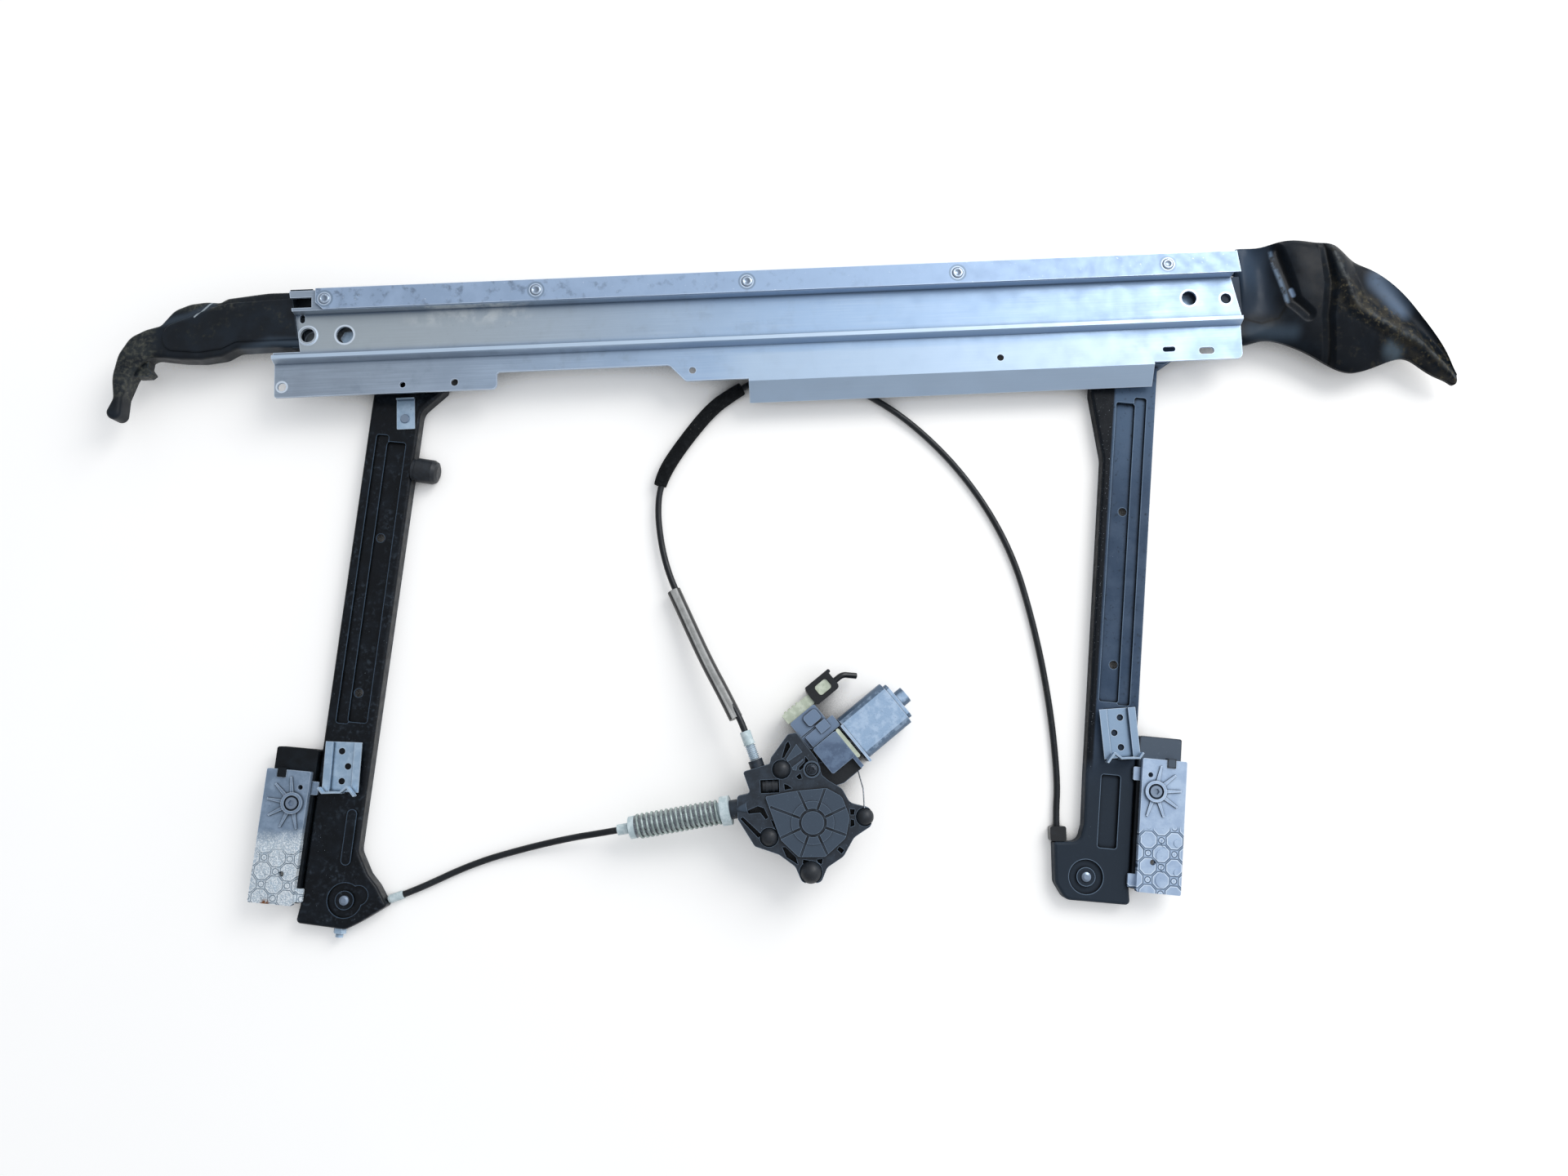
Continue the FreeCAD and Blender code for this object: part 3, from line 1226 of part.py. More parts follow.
def electronics_housing():
    x0, x1 = module_along
    y0, y1 = module_side
    z0, z1 = module_z
    box = rounded_box(x0, x1, y0, y1, z0, z1, 2.0)
    shelf = rounded_box(x0 + 3, x1 + 6.5, y0 + 0.4, y0 + 12.0, z0 + 2, z1 + 2.0, 1.0)
    pad = rounded_box(x0 + 12, x1 - 2, y1 - 14.0, y1 - 3.0, z1 - 1, z1 + 2.2, 3.0)
    cap = rounded_box(x1 - 12.0, x1 - 1.0, y0 + 5.0, y0 + 14.0, z1, z1 + 3.2, 0.8)
    body = fused([box, shelf, pad, cap])
    seam = block(x0 - 1, x1 + 9, y0 + 13.4, y0 + 14.2, z1 - 0.8, z1 + 5)
    return body.cut(seam.cut(rounded_box(x1 - 13.0, x1, y0 + 4.0, y0 + 15.0, z1 - 2, z1 + 6, 0.8)))


def connector_socket():
    x0, x1 = module_along[0] - 1.0, module_along[1] + 1.5
    y0 = module_side[1] + 0.2
    body = rounded_box(x0, x1, y0, y0 + 10.0, -34.0, -14.0, 1.0)
    ribs = [block(x0 - 1 + 4.5 * i, x0 + 1 + 4.5 * i, y0 + 8.6, y0 + 11.2, -33.0, -15.0) for i in range(1, 5)]
    return fused([body] + ribs)


def wiring_plug():
    x0 = module_along[1] + 1.7
    y0 = 77.0
    shell = rounded_box(x0, x0 + 27.0, y0, y0 + 19.0, -34.5, -12.0, 3.5)
    window = rounded_box(x0 + 7.5, x0 + 22.0, y0 + 4.0, y0 + 15.0, -15.5, -11.0, 3.0)
    lever = rounded_box(x0 + 1.0, x0 + 29.0, y0 + 16.0, y0 + 19.4, -30.0, -10.4, 1.2)
    insert = rounded_box(x0 + 8.0, x0 + 21.5, y0 + 4.5, y0 + 14.5, -15.5, -13.2, 2.5)
    return fused([shell.cut(window), lever]), insert


def plug_lead():
    start = vec(module_along[1] + 28.9, 84.3, -24.0)
    middle = start + vec(9.0, 0, 0)
    end = middle + vec(9.5, -9.0, -5.0)
    return cord([start, middle, end], lead_r, lead_r)


def locating_wire():
    """Thin wire from the gear housing to the right rubber mount."""
    start, bend, end = [vec(*point) for point in wire_points]
    joint = Part.makeSphere(wire_r, bend)
    return fused([rod(start, bend, wire_r), rod(bend, end, wire_r), joint])


def motor_gasket():
    x0 = block_along[1] + 0.5
    return rounded_box(x0, x0 + gasket_thick, worm_side - 16.0, worm_side + 16.0, worm_z - 15.0, worm_z + 17.0, 1.5).cut(
        rod(vec(x0 - 1, worm_side, worm_z), vec(x0 + 6, worm_side, worm_z), 9.0))


def can_section(half, flat_half, half_thick, x_low, x_high):
    """Flat-sided round can: a (y, z) section with four big rounded shoulders."""
    y0 = worm_side
    shoulder = half - flat_half
    section = []
    for sy, sz, first in ((1, 1, 0), (-1, 1, 90), (-1, -1, 180), (1, -1, 270)):
        for i in range(5):
            angle = math.radians(first + 90.0 * i / 4)
            rise = min(shoulder, half_thick)
            section.append((y0 + sy * flat_half + shoulder * math.cos(angle), worm_z + sz * (half_thick - rise)
                            + rise * math.sin(angle)))
    return profile_bar(section, x_low, x_high)


def motor_can():
    body = can_section(can_half, can_flat_half, can_thick / 2, can_start, can_end)
    end = can_section(can_half - 4.0, can_flat_half - 1.0, can_thick / 2 - 4.0, can_end - 1, can_end + 4.0)
    nose = rod(vec(can_end, worm_side, worm_z), vec(can_end + 4.0 + nose_length, worm_side, worm_z), nose_r)
    flange = rounded_box(
        can_start - flange_thick, can_start + 0.5, worm_side - flange_half - 1.0, worm_side + flange_half - 8.5,
        worm_z - can_thick / 2, worm_z + can_thick / 2 + 0.8, 0.8)
    body = fused([body, end, nose, flange])
    room = can_section(
        can_half - can_wall, can_flat_half, can_thick / 2 - can_wall, can_start - flange_thick - 1, can_end - can_wall)
    bearing = rod(vec(can_end - 3, worm_side, worm_z), vec(can_end + 8.0, worm_side, worm_z), shaft_r + running_gap)
    return body.cut(room).cut(bearing)


def motor_magnets():
    """Two curved magnets along the round sides of the can."""
    outer = can_section(
        can_half - can_wall - 0.1, can_flat_half, can_thick / 2 - can_wall - 0.1, can_start + 6, can_end - 10)
    core = rod(vec(can_start, worm_side, worm_z), vec(can_end, worm_side, worm_z), rotor_r + 1.2)
    ring = outer.cut(core)
    gap = block(can_start, can_end, worm_side - 13.0, worm_side + 13.0, worm_z - 30, worm_z + 30)
    return ring.cut(gap)


def armature():
    """Wound rotor, worm and shaft of the motor, all on one axis."""
    axis_point = vec(0, worm_side, worm_z)
    shaft = rod(axis_point + vec(-23.0, 0, 0), axis_point + vec(can_end + 6.0, 0, 0), shaft_r)
    worm_core_r = worm_pitch_r - gear_module * 1.1
    core = rod(axis_point + vec(-15.0, 0, 0), axis_point + vec(22.0, 0, 0), worm_core_r - 0.4)
    rotor = rod(axis_point + vec(rotor_along[0], 0, 0), axis_point + vec(rotor_along[1], 0, 0), rotor_r)
    slots = []
    for i in range(10):
        slot = block(rotor_along[0] - 1, rotor_along[1] + 1, worm_side - 0.6, worm_side + 0.6,
                     worm_z + rotor_r - 3.0, worm_z + rotor_r + 1)
        slot.rotate(axis_point, vec(1, 0, 0), 36 * i)
        slots.append(slot)
    collector = rod(axis_point + vec(74.0, 0, 0), axis_point + vec(83.0, 0, 0), 4.6)
    return fused([shaft, core, rotor.cut(Part.makeCompound(slots)), collector])


def housing_screw():
    x, y = boss_spot
    top = housing_top + boss_rise
    low = housing_floor + 0.5
    profile = [
        (0, low), (boss_screw_r, low), (boss_screw_r, top), (boss_screw_head_r, top),
        (boss_screw_head_r, top + 1.8), (2.2, top + 2.6), (2.2, top + 1.2), (0, top + 1.2)]
    return turned(profile, vec(x, y, 0), vec(0, 0, 1))


def cord(points, radius, least_radius):
    """Round cord along straight runs joined by tangent arcs; prints the arcs' radii."""
    edges = []
    here = points[0]
    radii = []
    for before, corner, after in zip(points, points[1:], points[2:]):
        back = (before - corner)
        ahead = (after - corner)
        run = min(back.Length, ahead.Length)
        back_way = vec(back.x, back.y, back.z).normalize()
        ahead_way = vec(ahead.x, ahead.y, ahead.z).normalize()
        half_gap = back_way.getAngle(ahead_way) / 2
        half_turn = math.pi / 2 - half_gap
        reach = 0.45 * run
        arc_r = reach / math.tan(half_turn)
        start = corner + back_way * reach
        end = corner + ahead_way * reach
        bisector = (back_way + ahead_way).normalize()
        middle = corner + bisector * (arc_r / math.cos(half_turn) - arc_r)
        edges.append(Part.LineSegment(here, start).toShape())
        edges.append(Part.Arc(start, middle, end).toShape())
        here = end
        radii.append(round(arc_r, 1))
    edges.append(Part.LineSegment(here, points[-1]).toShape())
    solid = pipe(edges, radius)
    length = sum(edge.Length for edge in edges)
    ideal = math.pi * radius ** 2 * length
    print("cord length", round(length, 1), "volume share", round(solid.Volume / ideal, 4), "radii", radii)
    if min(radii) < least_radius:
        print("tight arc", min(radii))
    return solid


save("drum_housing", at_drum(drum_housing()))
save("inlet_elbow", at_drum(inlet_elbow()))
save("drum_cover", at_drum(drum_cover()))
save("ball_mounts", *[at_drum(ball_mount(*spot)) for spot in ball_spots])
save("cable_drum", at_drum(cable_drum()))
save("worm_wheel", at_drum(worm_wheel()))
save("gear_housing", at_motor(gear_housing()))
save("electronics_housing", at_motor(electronics_housing()))
save("connector_socket", at_motor(connector_socket()))
plug_shell, plug_insert = wiring_plug()
save("wiring_plug", at_motor(plug_shell))
save("plug_insert", at_motor(plug_insert))
save("plug_lead", at_motor(plug_lead()))
save("locating_wire", at_drum(locating_wire()))
save("motor_gasket", at_motor(motor_gasket()))
save("motor_can", at_motor(motor_can()))
save("motor_magnets", at_motor(motor_magnets()))
save("armature", at_motor(armature()))
save("housing_screw", at_drum(housing_screw()))


# Cable fittings: the slack-taking spring, the threaded upper ferrule and the plain ends on the rails
def socket_end(base, along, outside, bore_r):
    """Turned fitting from (distance, radius) steps, bored through for the cable and, at its far end,
    counterbored for the conduit."""
    profile = [(0, outside[0][0])]
    profile += [(radius, distance) for distance, radius in outside]
    profile += [(0, outside[-1][0])]
    body = turned(profile, base, along)
    far = outside[-1][0]
    bore = rod(base - along, base + along * (far + 1), bore_r)
    counterbore = rod(base + along * (far - socket_depth), base + along * (far + 1), conduit_r + socket_gap)
    return body.cut(bore).cut(counterbore)


def tension_spring():
    start, end = vec(*spring_start), vec(*spring_end)
    length = (end - start).Length - 2 * spring_wire_r - 0.2
    mean_r = spring_r - spring_wire_r
    helix = Part.makeHelix(length / spring_coils, length, mean_r)
    profile = Part.Wire(Part.Circle(vec(mean_r, 0, 0), vec(0, 1, 0), spring_wire_r).toShape())
    shell = Part.BRepOffsetAPI.MakePipeShell(Part.Wire(helix.Edges))
    shell.setFrenetMode(True)
    shell.add(profile)
    shell.build()
    shell.makeSolid()
    coil = shell.shape()
    base = start + spring_heading * (spring_wire_r + 0.1)
    coil.Placement = FreeCAD.Placement(base, FreeCAD.Rotation(vec(0, 0, 1), spring_heading))
    return coil


def spring_seat():
    base = vec(*spring_end)
    seat = rod(base, base + spring_heading * (seat_thick - 0.05), seat_r)
    sleeve = rod(base - spring_heading * 12.0, base + spring_heading, spring_r - 2 * spring_wire_r - 0.6)
    return seat.fuse(sleeve).cut(rod(base - spring_heading * 20, base + spring_heading * 20, rope_r + 1.0))


def spring_cap():
    base = vec(*spring_start)
    along = spring_heading * -1
    steps = [
        (-10.0, spring_r - 2 * spring_wire_r - 0.6), (0.0, spring_r - 2 * spring_wire_r - 0.6), (0.0, cap_washer_r),
        (5.4, cap_washer_r), (5.4, cap_r - 1.2), (5.4 + cap_gap, cap_r - 1.2), (5.4 + cap_gap, cap_r),
        (5.4 + cap_gap + cap_length, cap_r)]
    return socket_end(base, along, steps, rope_r + 1.0)


def upper_ferrule():
    along = upper_heading * -1
    steps = [(0.1, 3.8), (14.4, 3.8), (14.4, 5.4), (15.6, 5.4), (15.6, 4.9), (upper_length, 4.9)]
    return socket_end(upper_tip, along, steps, rope_r + 1.0)


def left_ferrule():
    heading = lower_heading("left")
    base = lower_start("left") + heading * 1.0
    return socket_end(base, heading, [(0.0, 3.0), (1.6, 3.0), (1.6, 3.9), (14.0, 3.9)], rope_r + 0.6)


right_cap_size = (14.6, 13.2)
right_cap_heading = vec(-0.11, 0.994, 0).normalize()


def right_cable_cap():
    start = lower_start("right") + right_cap_heading * 0.5
    half_wide = right_cap_size[0] / 2
    body = rounded_box(-half_wide, half_wide, 0, right_cap_size[1], floor_z + 0.3, cable_z + 7.0, 2.0)
    body.rotate(vec(0, 0, 0), vec(0, 0, 1), math.degrees(math.atan2(-right_cap_heading.x, right_cap_heading.y)))
    body.translate(vec(start.x, start.y, 0))
    far = start + right_cap_heading * right_cap_size[1]
    bore = rod(start - right_cap_heading, far + right_cap_heading, rope_r + 0.6)
    counterbore = rod(far - right_cap_heading * socket_depth, far + right_cap_heading, conduit_r + socket_gap)
    return body.cut(bore).cut(counterbore)


save("tension_spring", at_drum(tension_spring()))
save("spring_seat", at_drum(spring_seat()))
save("spring_cap", at_drum(spring_cap()))
save("upper_ferrule", at_drum(upper_ferrule()))
save("left_ferrule", on_rail(left_ferrule(), "left"))
save("right_cable_cap", on_rail(right_cable_cap(), "right"))


# Conduits and sleeves; each conduit starts in the socket of its fitting
def conduit_start(base, along, length):
    """Point just above the bottom of a fitting's conduit socket."""
    return base + along * (length - socket_depth + 0.3)


drum_point = vec(drum_spot[0], drum_spot[1], 0)
cap_far = 5.4 + cap_gap + cap_length
spring_mouth = conduit_start(drum_point + vec(*spring_start), spring_heading * -1, cap_far)
upper_mouth = conduit_start(drum_point + upper_tip, upper_heading * -1, upper_length)
left_start = lower_start("left") + lower_heading("left") * (15.0 - socket_depth + 0.3)
left_mouth = rail_spot("left", left_start.x, left_start.y, cable_z)
right_start = lower_start("right") + right_cap_heading * (0.8 + right_cap_size[1] - socket_depth)
right_mouth = rail_spot("right", right_start.x, right_start.y, cable_z)
left_beyond = left_start + lower_heading("left") * exit_run
left_ahead = rail_spot("left", left_beyond.x, left_beyond.y, cable_z)
right_beyond = right_start + right_cap_heading * exit_run
right_ahead = rail_spot("right", right_beyond.x, right_beyond.y, cable_z)
left_inlet = rail_spot("left", head_inner["left"] - 0.2, rope_top, cable_z)
right_inlet = rail_spot("right", head_inner["right"] - 0.2, rope_top, cable_z)
lie_z = floor_z + conduit_r + 0.1

left_route = [
    left_mouth, left_ahead, vec(141.4, -493.9, lie_z), vec(188.0, -482.6, -35.0),
    vec(232.0, -474.3, -28.0), spring_mouth - spring_heading * 20.0, spring_mouth]
right_route = [
    upper_mouth, upper_mouth - upper_heading * exit_run, vec(381.5, -357.0, -8.5), vec(364.0, -322.5, -17.0), vec(341.4, -269.0, -27.5),
    vec(324.6, -226.0, -32.6), vec(318.6, -178.0, -33.0), vec(323.5, -145.0, -33.0), vec(343.5, -112.5, -33.0),
    vec(373.0, -77.5, -33.0), vec(411.0, -53.5, -33.0), vec(470.0, -24.0, lie_z), vec(540.0, -3.0, lie_z),
    vec(614.0, 9.5, lie_z), vec(688.0, 15.1, lie_z), right_inlet]
between_route = [
    right_mouth, right_ahead, vec(680.2, -443.0, lie_z), vec(678.3, -375.0, lie_z), vec(669.0, -300.0, lie_z),
    vec(652.0, -224.0, lie_z), vec(615.0, -154.0, lie_z), vec(565.0, -97.5, -36.0), vec(516.0, -65.0, -31.0),
    vec(466.0, -43.5, -26.2), vec(424.0, -30.0, -26.2), vec(360.0, -16.5, -32.0), vec(288.0, -9.0, lie_z),
    vec(205.0, -2.8, lie_z), left_inlet]
foam_r = 6.9
film_ends = (vec(341.2, -237.5, -30.5), vec(396.6, -352.6, -18.5))
film_r = 8.4
film_wall = 0.7


def foam_sleeve():
    """Foam tube over the conduit where it nears the beam."""
    route = right_route[6:12]
    outer = cord(route, foam_r, 5 * conduit_r)
    inner = cord(route, conduit_r + 0.2, 5 * conduit_r)
    near = block(250, 700, -149.0, -58.0, -60, 0)
    return outer.cut(inner).common(near)


def split_sleeve():
    """Slit film tube that hangs over a straight stretch of the conduit."""
    start, end = film_ends
    along = (end - start).normalize()
    tube = rod(start, end, film_r).cut(rod(start - along, end + along, film_r - film_wall))
    slit_way = vec(0, 0, 1).cross(along)
    slit = Part.makeBox(400, 1.6, 20, vec(-200, -0.8, 0))
    slit.Placement = FreeCAD.Placement(
        (start + end) * 0.5, FreeCAD.Rotation(along, slit_way, slit_way.cross(along) * -1, "XZY"))
    return tube.cut(slit)


save("conduit_to_left_rail", cord(left_route, conduit_r, 10 * conduit_r))
save("conduit_to_right_rail", cord(right_route, conduit_r, 10 * conduit_r))
save("conduit_between_rails", cord(between_route, conduit_r, 10 * conduit_r))
save("foam_sleeve", foam_sleeve())
save("split_sleeve", split_sleeve())


# End pieces that carry the beam into the door's corners
def beyond_left(outline):
    return [(chamber_left + x, y, radius) for x, y, radius in outline]


def rim_rounded(body, rim):
    """Round the upper rim of an upright body."""
    top = body.BoundBox.ZMax
    return body.makeFillet(rim, [edge for edge in body.Edges if edge.BoundBox.ZMin > top - 0.01])


def chamber_prong(x_low, x_high, y_low, y_high):
    """Prong that fills the height of the beam's chamber."""
    return block(x_low, x_high, y_low, y_high, beam_back + beam_wall + prong_gap, -beam_wall - prong_gap)


def left_of_beam(room, inset):
    """Block over a room, up to the beam's slanted left end less a gap and an inset."""
    far = room.XMin - 1
    low_x = chamber_left - boot_gap - inset + end_slant * (ledge_top + 1.0 - room.YMin + 1)
    high_x = chamber_left - boot_gap - inset + end_slant * (ledge_top + 1.0 - room.YMax - 1)
    corners = [(far, room.YMin - 1), (low_x, room.YMin - 1), (high_x, room.YMax + 1), (far, room.YMax + 1)]
    return slab(corners, room.ZMin - 1, room.ZMax + 1)


def left_end_piece():
    outline = beyond_left(boot_outline)
    boot_end = chamber_left - boot_gap
    low = boot_top - boot_depth
    boot = rim_rounded(slab(outline, low, boot_top), boot_rim)
    lobe = rim_rounded(slab(beyond_left(lobe_outline), boot_top - 1.0, boot_top + lobe_rise), lobe_rim)
    inner_plan = rounded_wire(outline, low - 1.0).makeOffset2D(-boot_wall)
    hollow = Part.Face(inner_plan).extrude(vec(0, 0, boot_depth + 1.0 - boot_wall))
    hollow = rim_rounded(hollow, boot_rim - boot_wall)
    barb = slab(beyond_left(barb_outline), low, low + barb_depth)
    cover = boot.fuse([lobe, barb]).cut(hollow)
    room = cover.BoundBox
    cover = cover.common(left_of_beam(room, 0.0))
    end_wall = boot.common(left_of_beam(room, 0.0)).cut(left_of_beam(room, boot_wall))
    prongs = [
        chamber_prong(boot_end - 1, boot_end + prong_reach, prong_upper[0], prong_upper[1]),
        chamber_prong(boot_end - 1, boot_end + prong_reach, prong_lower[0], prong_lower[1])]
    lip_foot = ledge_top + lip_gap
    lip_low = low + boot_rim
    lip = block(boot_end - 1, boot_end + lip_length, lip_foot, lip_foot + lip_thick, lip_low, lip_top)
    floor = block(
        boot_end - 1, boot_end + lip_length, chamber_half + lip_gap, lip_foot + 1, lip_low, lip_low + lip_thick)
    return fused([cover, end_wall, lip, floor] + prongs)


def right_end_piece():
    grid = []
    for x, y_low, y_high, heights in shell_stations:
        span = y_high - y_low
        grid.append([vec(beam_right + x, y_low + share * span, z) for share, z in zip(shell_shares, heights)])
    surface = Part.BSplineSurface()
    surface.interpolate(grid)
    shell = surface.toShape().extrude(vec(0, 0, -shell_thick))
    tenon_half = chamber_half - beam_wall - prong_gap
    tenon = chamber_prong(beam_right - tenon_reach, beam_right + 2.0, -tenon_half, tenon_half)
    first_x, first_low, first_high, first_heights = shell_stations[0]
    shelf_top = first_heights[-2] - shell_thick / 2
    shelf = block(
        beam_right - shelf_reach, beam_right + 2.0, chamber_half + lip_gap, first_high - 2.0,
        shelf_top - shelf_thick, shelf_top)
    return fused([shell, tenon, shelf])


save("left_end_piece", left_end_piece())
save("right_end_piece", right_end_piece())
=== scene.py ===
import math

import bmesh
import bpy
from mathutils import Matrix, Vector


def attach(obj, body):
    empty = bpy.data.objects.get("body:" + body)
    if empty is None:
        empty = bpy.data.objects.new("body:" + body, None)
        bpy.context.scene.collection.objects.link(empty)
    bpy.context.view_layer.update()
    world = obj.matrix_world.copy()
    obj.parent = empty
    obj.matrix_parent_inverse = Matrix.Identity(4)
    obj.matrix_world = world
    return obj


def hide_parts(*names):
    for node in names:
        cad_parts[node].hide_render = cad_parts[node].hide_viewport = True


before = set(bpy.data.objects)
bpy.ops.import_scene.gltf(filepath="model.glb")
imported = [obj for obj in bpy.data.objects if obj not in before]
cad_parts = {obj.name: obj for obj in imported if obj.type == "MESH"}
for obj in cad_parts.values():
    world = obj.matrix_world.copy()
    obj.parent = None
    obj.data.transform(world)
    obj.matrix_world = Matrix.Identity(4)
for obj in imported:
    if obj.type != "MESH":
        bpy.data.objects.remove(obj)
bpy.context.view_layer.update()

MM = 0.001

# Waist beam. The regulator hangs from this aluminium extrusion, which is sawn to length and pierced
# and keeps its mill finish. Its left end is smudged and streaked with dried powder, and it gets
# cleaner towards the right. Its tone along its length is painted light: brighter towards the right,
# duller towards the left in patches that are partly smudges and partly painted shade. Painted
# highlights lie on the rim that the punch raised around each hole, along its rib and on its edges,
# and painted shade lies beside its ribs.


def paint(code):
    """Linear colour of an sRGB hex value."""
    parts = [int(code[i:i + 2], 16) / 255 for i in (1, 3, 5)]
    return [c / 12.92 if c <= 0.04045 else ((c + 0.055) / 1.055) ** 2.4 for c in parts] + [1.0]


def add(tree, kind, **parts):
    """Add a node; a part named like a socket feeds that socket, and any other part is a setting."""
    node = tree.nodes.new(kind)
    for name, value in parts.items():
        socket = next((s for s in node.inputs if s.identifier.replace(" ", "_") == name), None)
        if socket is None:
            setattr(node, name, value)
        elif isinstance(value, bpy.types.Node):
            tree.links.new(value.outputs[0], socket)
        elif isinstance(value, bpy.types.NodeSocket):
            tree.links.new(value, socket)
        else:
            socket.default_value = value
    return node


def new_finish(name):
    """An empty material, its tree and the place of a point on the piece."""
    material = bpy.data.materials.new(name)
    material.use_nodes = True
    tree = material.node_tree
    tree.nodes.clear()
    return material, tree, add(tree, "ShaderNodeTexCoord").outputs["Object"]


def axes(tree, place):
    """The place of a point as x, y and z."""
    return add(tree, "ShaderNodeSeparateXYZ", Vector=place).outputs


def maths(tree, operation, *values):
    """Result of an operation on numbers."""
    named = dict(zip(("Value", "Value_001", "Value_002"), values))
    return add(tree, "ShaderNodeMath", operation=operation, **named)


def vectors(tree, operation, *values):
    """Results of an operation on places: its Vector and its Value."""
    named = dict(zip(("Vector", "Vector_001", "Vector_002"), values))
    return add(tree, "ShaderNodeVectorMath", operation=operation, **named).outputs


def rise(tree, value, start, end):
    """0 on one side of start and 1 beyond end, with a soft rise between them."""
    return add(tree, "ShaderNodeMapRange", interpolation_type="SMOOTHSTEP", Value=value,
               From_Min=start, From_Max=end)


def clouds(tree, place, size_mm, detail=4.0, roughness=0.6):
    """Noise in clouds of a size."""
    return add(tree, "ShaderNodeTexNoise", Vector=place, Scale=1 / (size_mm * MM), Detail=detail,
               Roughness=roughness)


def patches(tree, place, size_mm, start, end, detail=4.0):
    """1 in the patches of a clouded surface and 0 between them; a larger start leaves fewer patches."""
    return rise(tree, clouds(tree, place, size_mm, detail), start, end)


def within(tree, *masks):
    """1 only where every mask is 1; a mask given as (value, start, end) rises from start to end."""
    whole = 1.0
    for mask in masks:
        if isinstance(mask, tuple):
            mask = rise(tree, *mask)
        whole = maths(tree, "MULTIPLY", whole, mask)
    return whole


def coated(tree, ground, *layers):
    """Colour of a surface whose ground colour shows between layers of (where, colour)."""
    colour = paint(ground)
    for where, code in layers:
        colour = add(tree, "ShaderNodeMixRGB", Fac=where, Color1=colour, Color2=paint(code))
    return colour


def uneven(tree, place, size_mm, low, high):
    """Roughness that wanders between two values in patches of a size."""
    wander = clouds(tree, place, size_mm, roughness=0.5)
    return add(tree, "ShaderNodeMapRange", Value=wander, From_Min=0.3, From_Max=0.7, To_Min=low, To_Max=high)


def openness(tree, reach_mm, inside=False):
    """Share of the space around a point that is free of surfaces, outside the piece or inside it."""
    return add(tree, "ShaderNodeAmbientOcclusion", samples=8, inside=inside,
               Distance=reach_mm * MM).outputs["AO"]


def hollow_shade(tree, reach_mm):
    """1 beside a rib or in a groove, where the surface nearby stands higher, and 0 on open ground; painted
    shade is laid there.
    """
    return add(tree, "ShaderNodeMapRange", Value=openness(tree, reach_mm), From_Min=0.92, From_Max=0.5)


def edges(tree, reach_mm):
    """1 along the outward edges of a piece, where coats wear and where edge highlights are painted."""
    return add(tree, "ShaderNodeMapRange", Value=openness(tree, reach_mm, inside=True),
               From_Min=0.85, From_Max=0.45)


def skin(tree, colour, roughness, metal=0.0, gloss=0.5, bumps=()):
    """Shader of a finish; each bump is (height, depth in millimetres, strength), the largest form first."""
    under = {}
    for height, depth_mm, strength in bumps:
        bump = add(tree, "ShaderNodeBump", Height=height, Distance=depth_mm * MM, Strength=strength, **under)
        under = {"Normal": bump}
    return add(tree, "ShaderNodeBsdfPrincipled", Base_Color=colour, Roughness=roughness, Metallic=metal,
               Specular_IOR_Level=gloss, **under)


def dress(material, *names):
    """Give CAD nodes a better finish; their shape stays."""
    for name in names:
        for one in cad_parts[name].material_slots:
            one.material = material


def seen_flat(tree, place):
    """The place of a point as seen from above."""
    return vectors(tree, "MULTIPLY", place, (1.0, 1.0, 0.0))["Vector"]


def rims(tree, place, holes):
    """1 on the raised rims that a punch leaves around holes given as (centre, radius) in millimetres."""
    whole = 0.0
    for (across, up), radius in holes:
        way = vectors(tree, "DISTANCE", seen_flat(tree, place), (across * MM, up * MM, 0.0))["Value"]
        inner = (way, (radius + 0.1) * MM, (radius + 0.5) * MM)
        outer = (way, (radius + 2.2) * MM, (radius + 1.4) * MM)
        whole = maths(tree, "ADD", whole, within(tree, inner, outer))
    return whole


# Extruded aluminium: a soft metal sheen with fine lines along the profile. The lines are drawn
# 1.4 mm apart, where real ones are nearer 0.2 mm and would not show.
beam_holes = (
    ((0.0, 0.0), 8.0), ((34.4, -0.6), 8.0), ((-25.6, -47.4), 4.0), ((828.2, 1.3), 7.0), ((862.7, -0.5), 5.0))
line_spacing = 1.4
line_stretch = 50
beam_metal, tree, place = new_finish("mill_finish_aluminium_extruded")
x, y, _ = axes(tree, place)
along = add(tree, "ShaderNodeMapping", Vector=place, Scale=(1 / line_stretch, 1.0, 1.0))
die_lines = patches(tree, along, line_spacing, 0.35, 0.75, 3.0)
left_smudge_and_shade = (x, 0.75, -0.05)
smears = patches(tree, place, 3.0, 0.6, 0.72, 8.0)
powder = patches(tree, place, 14, 0.42, 0.62, 8.0)
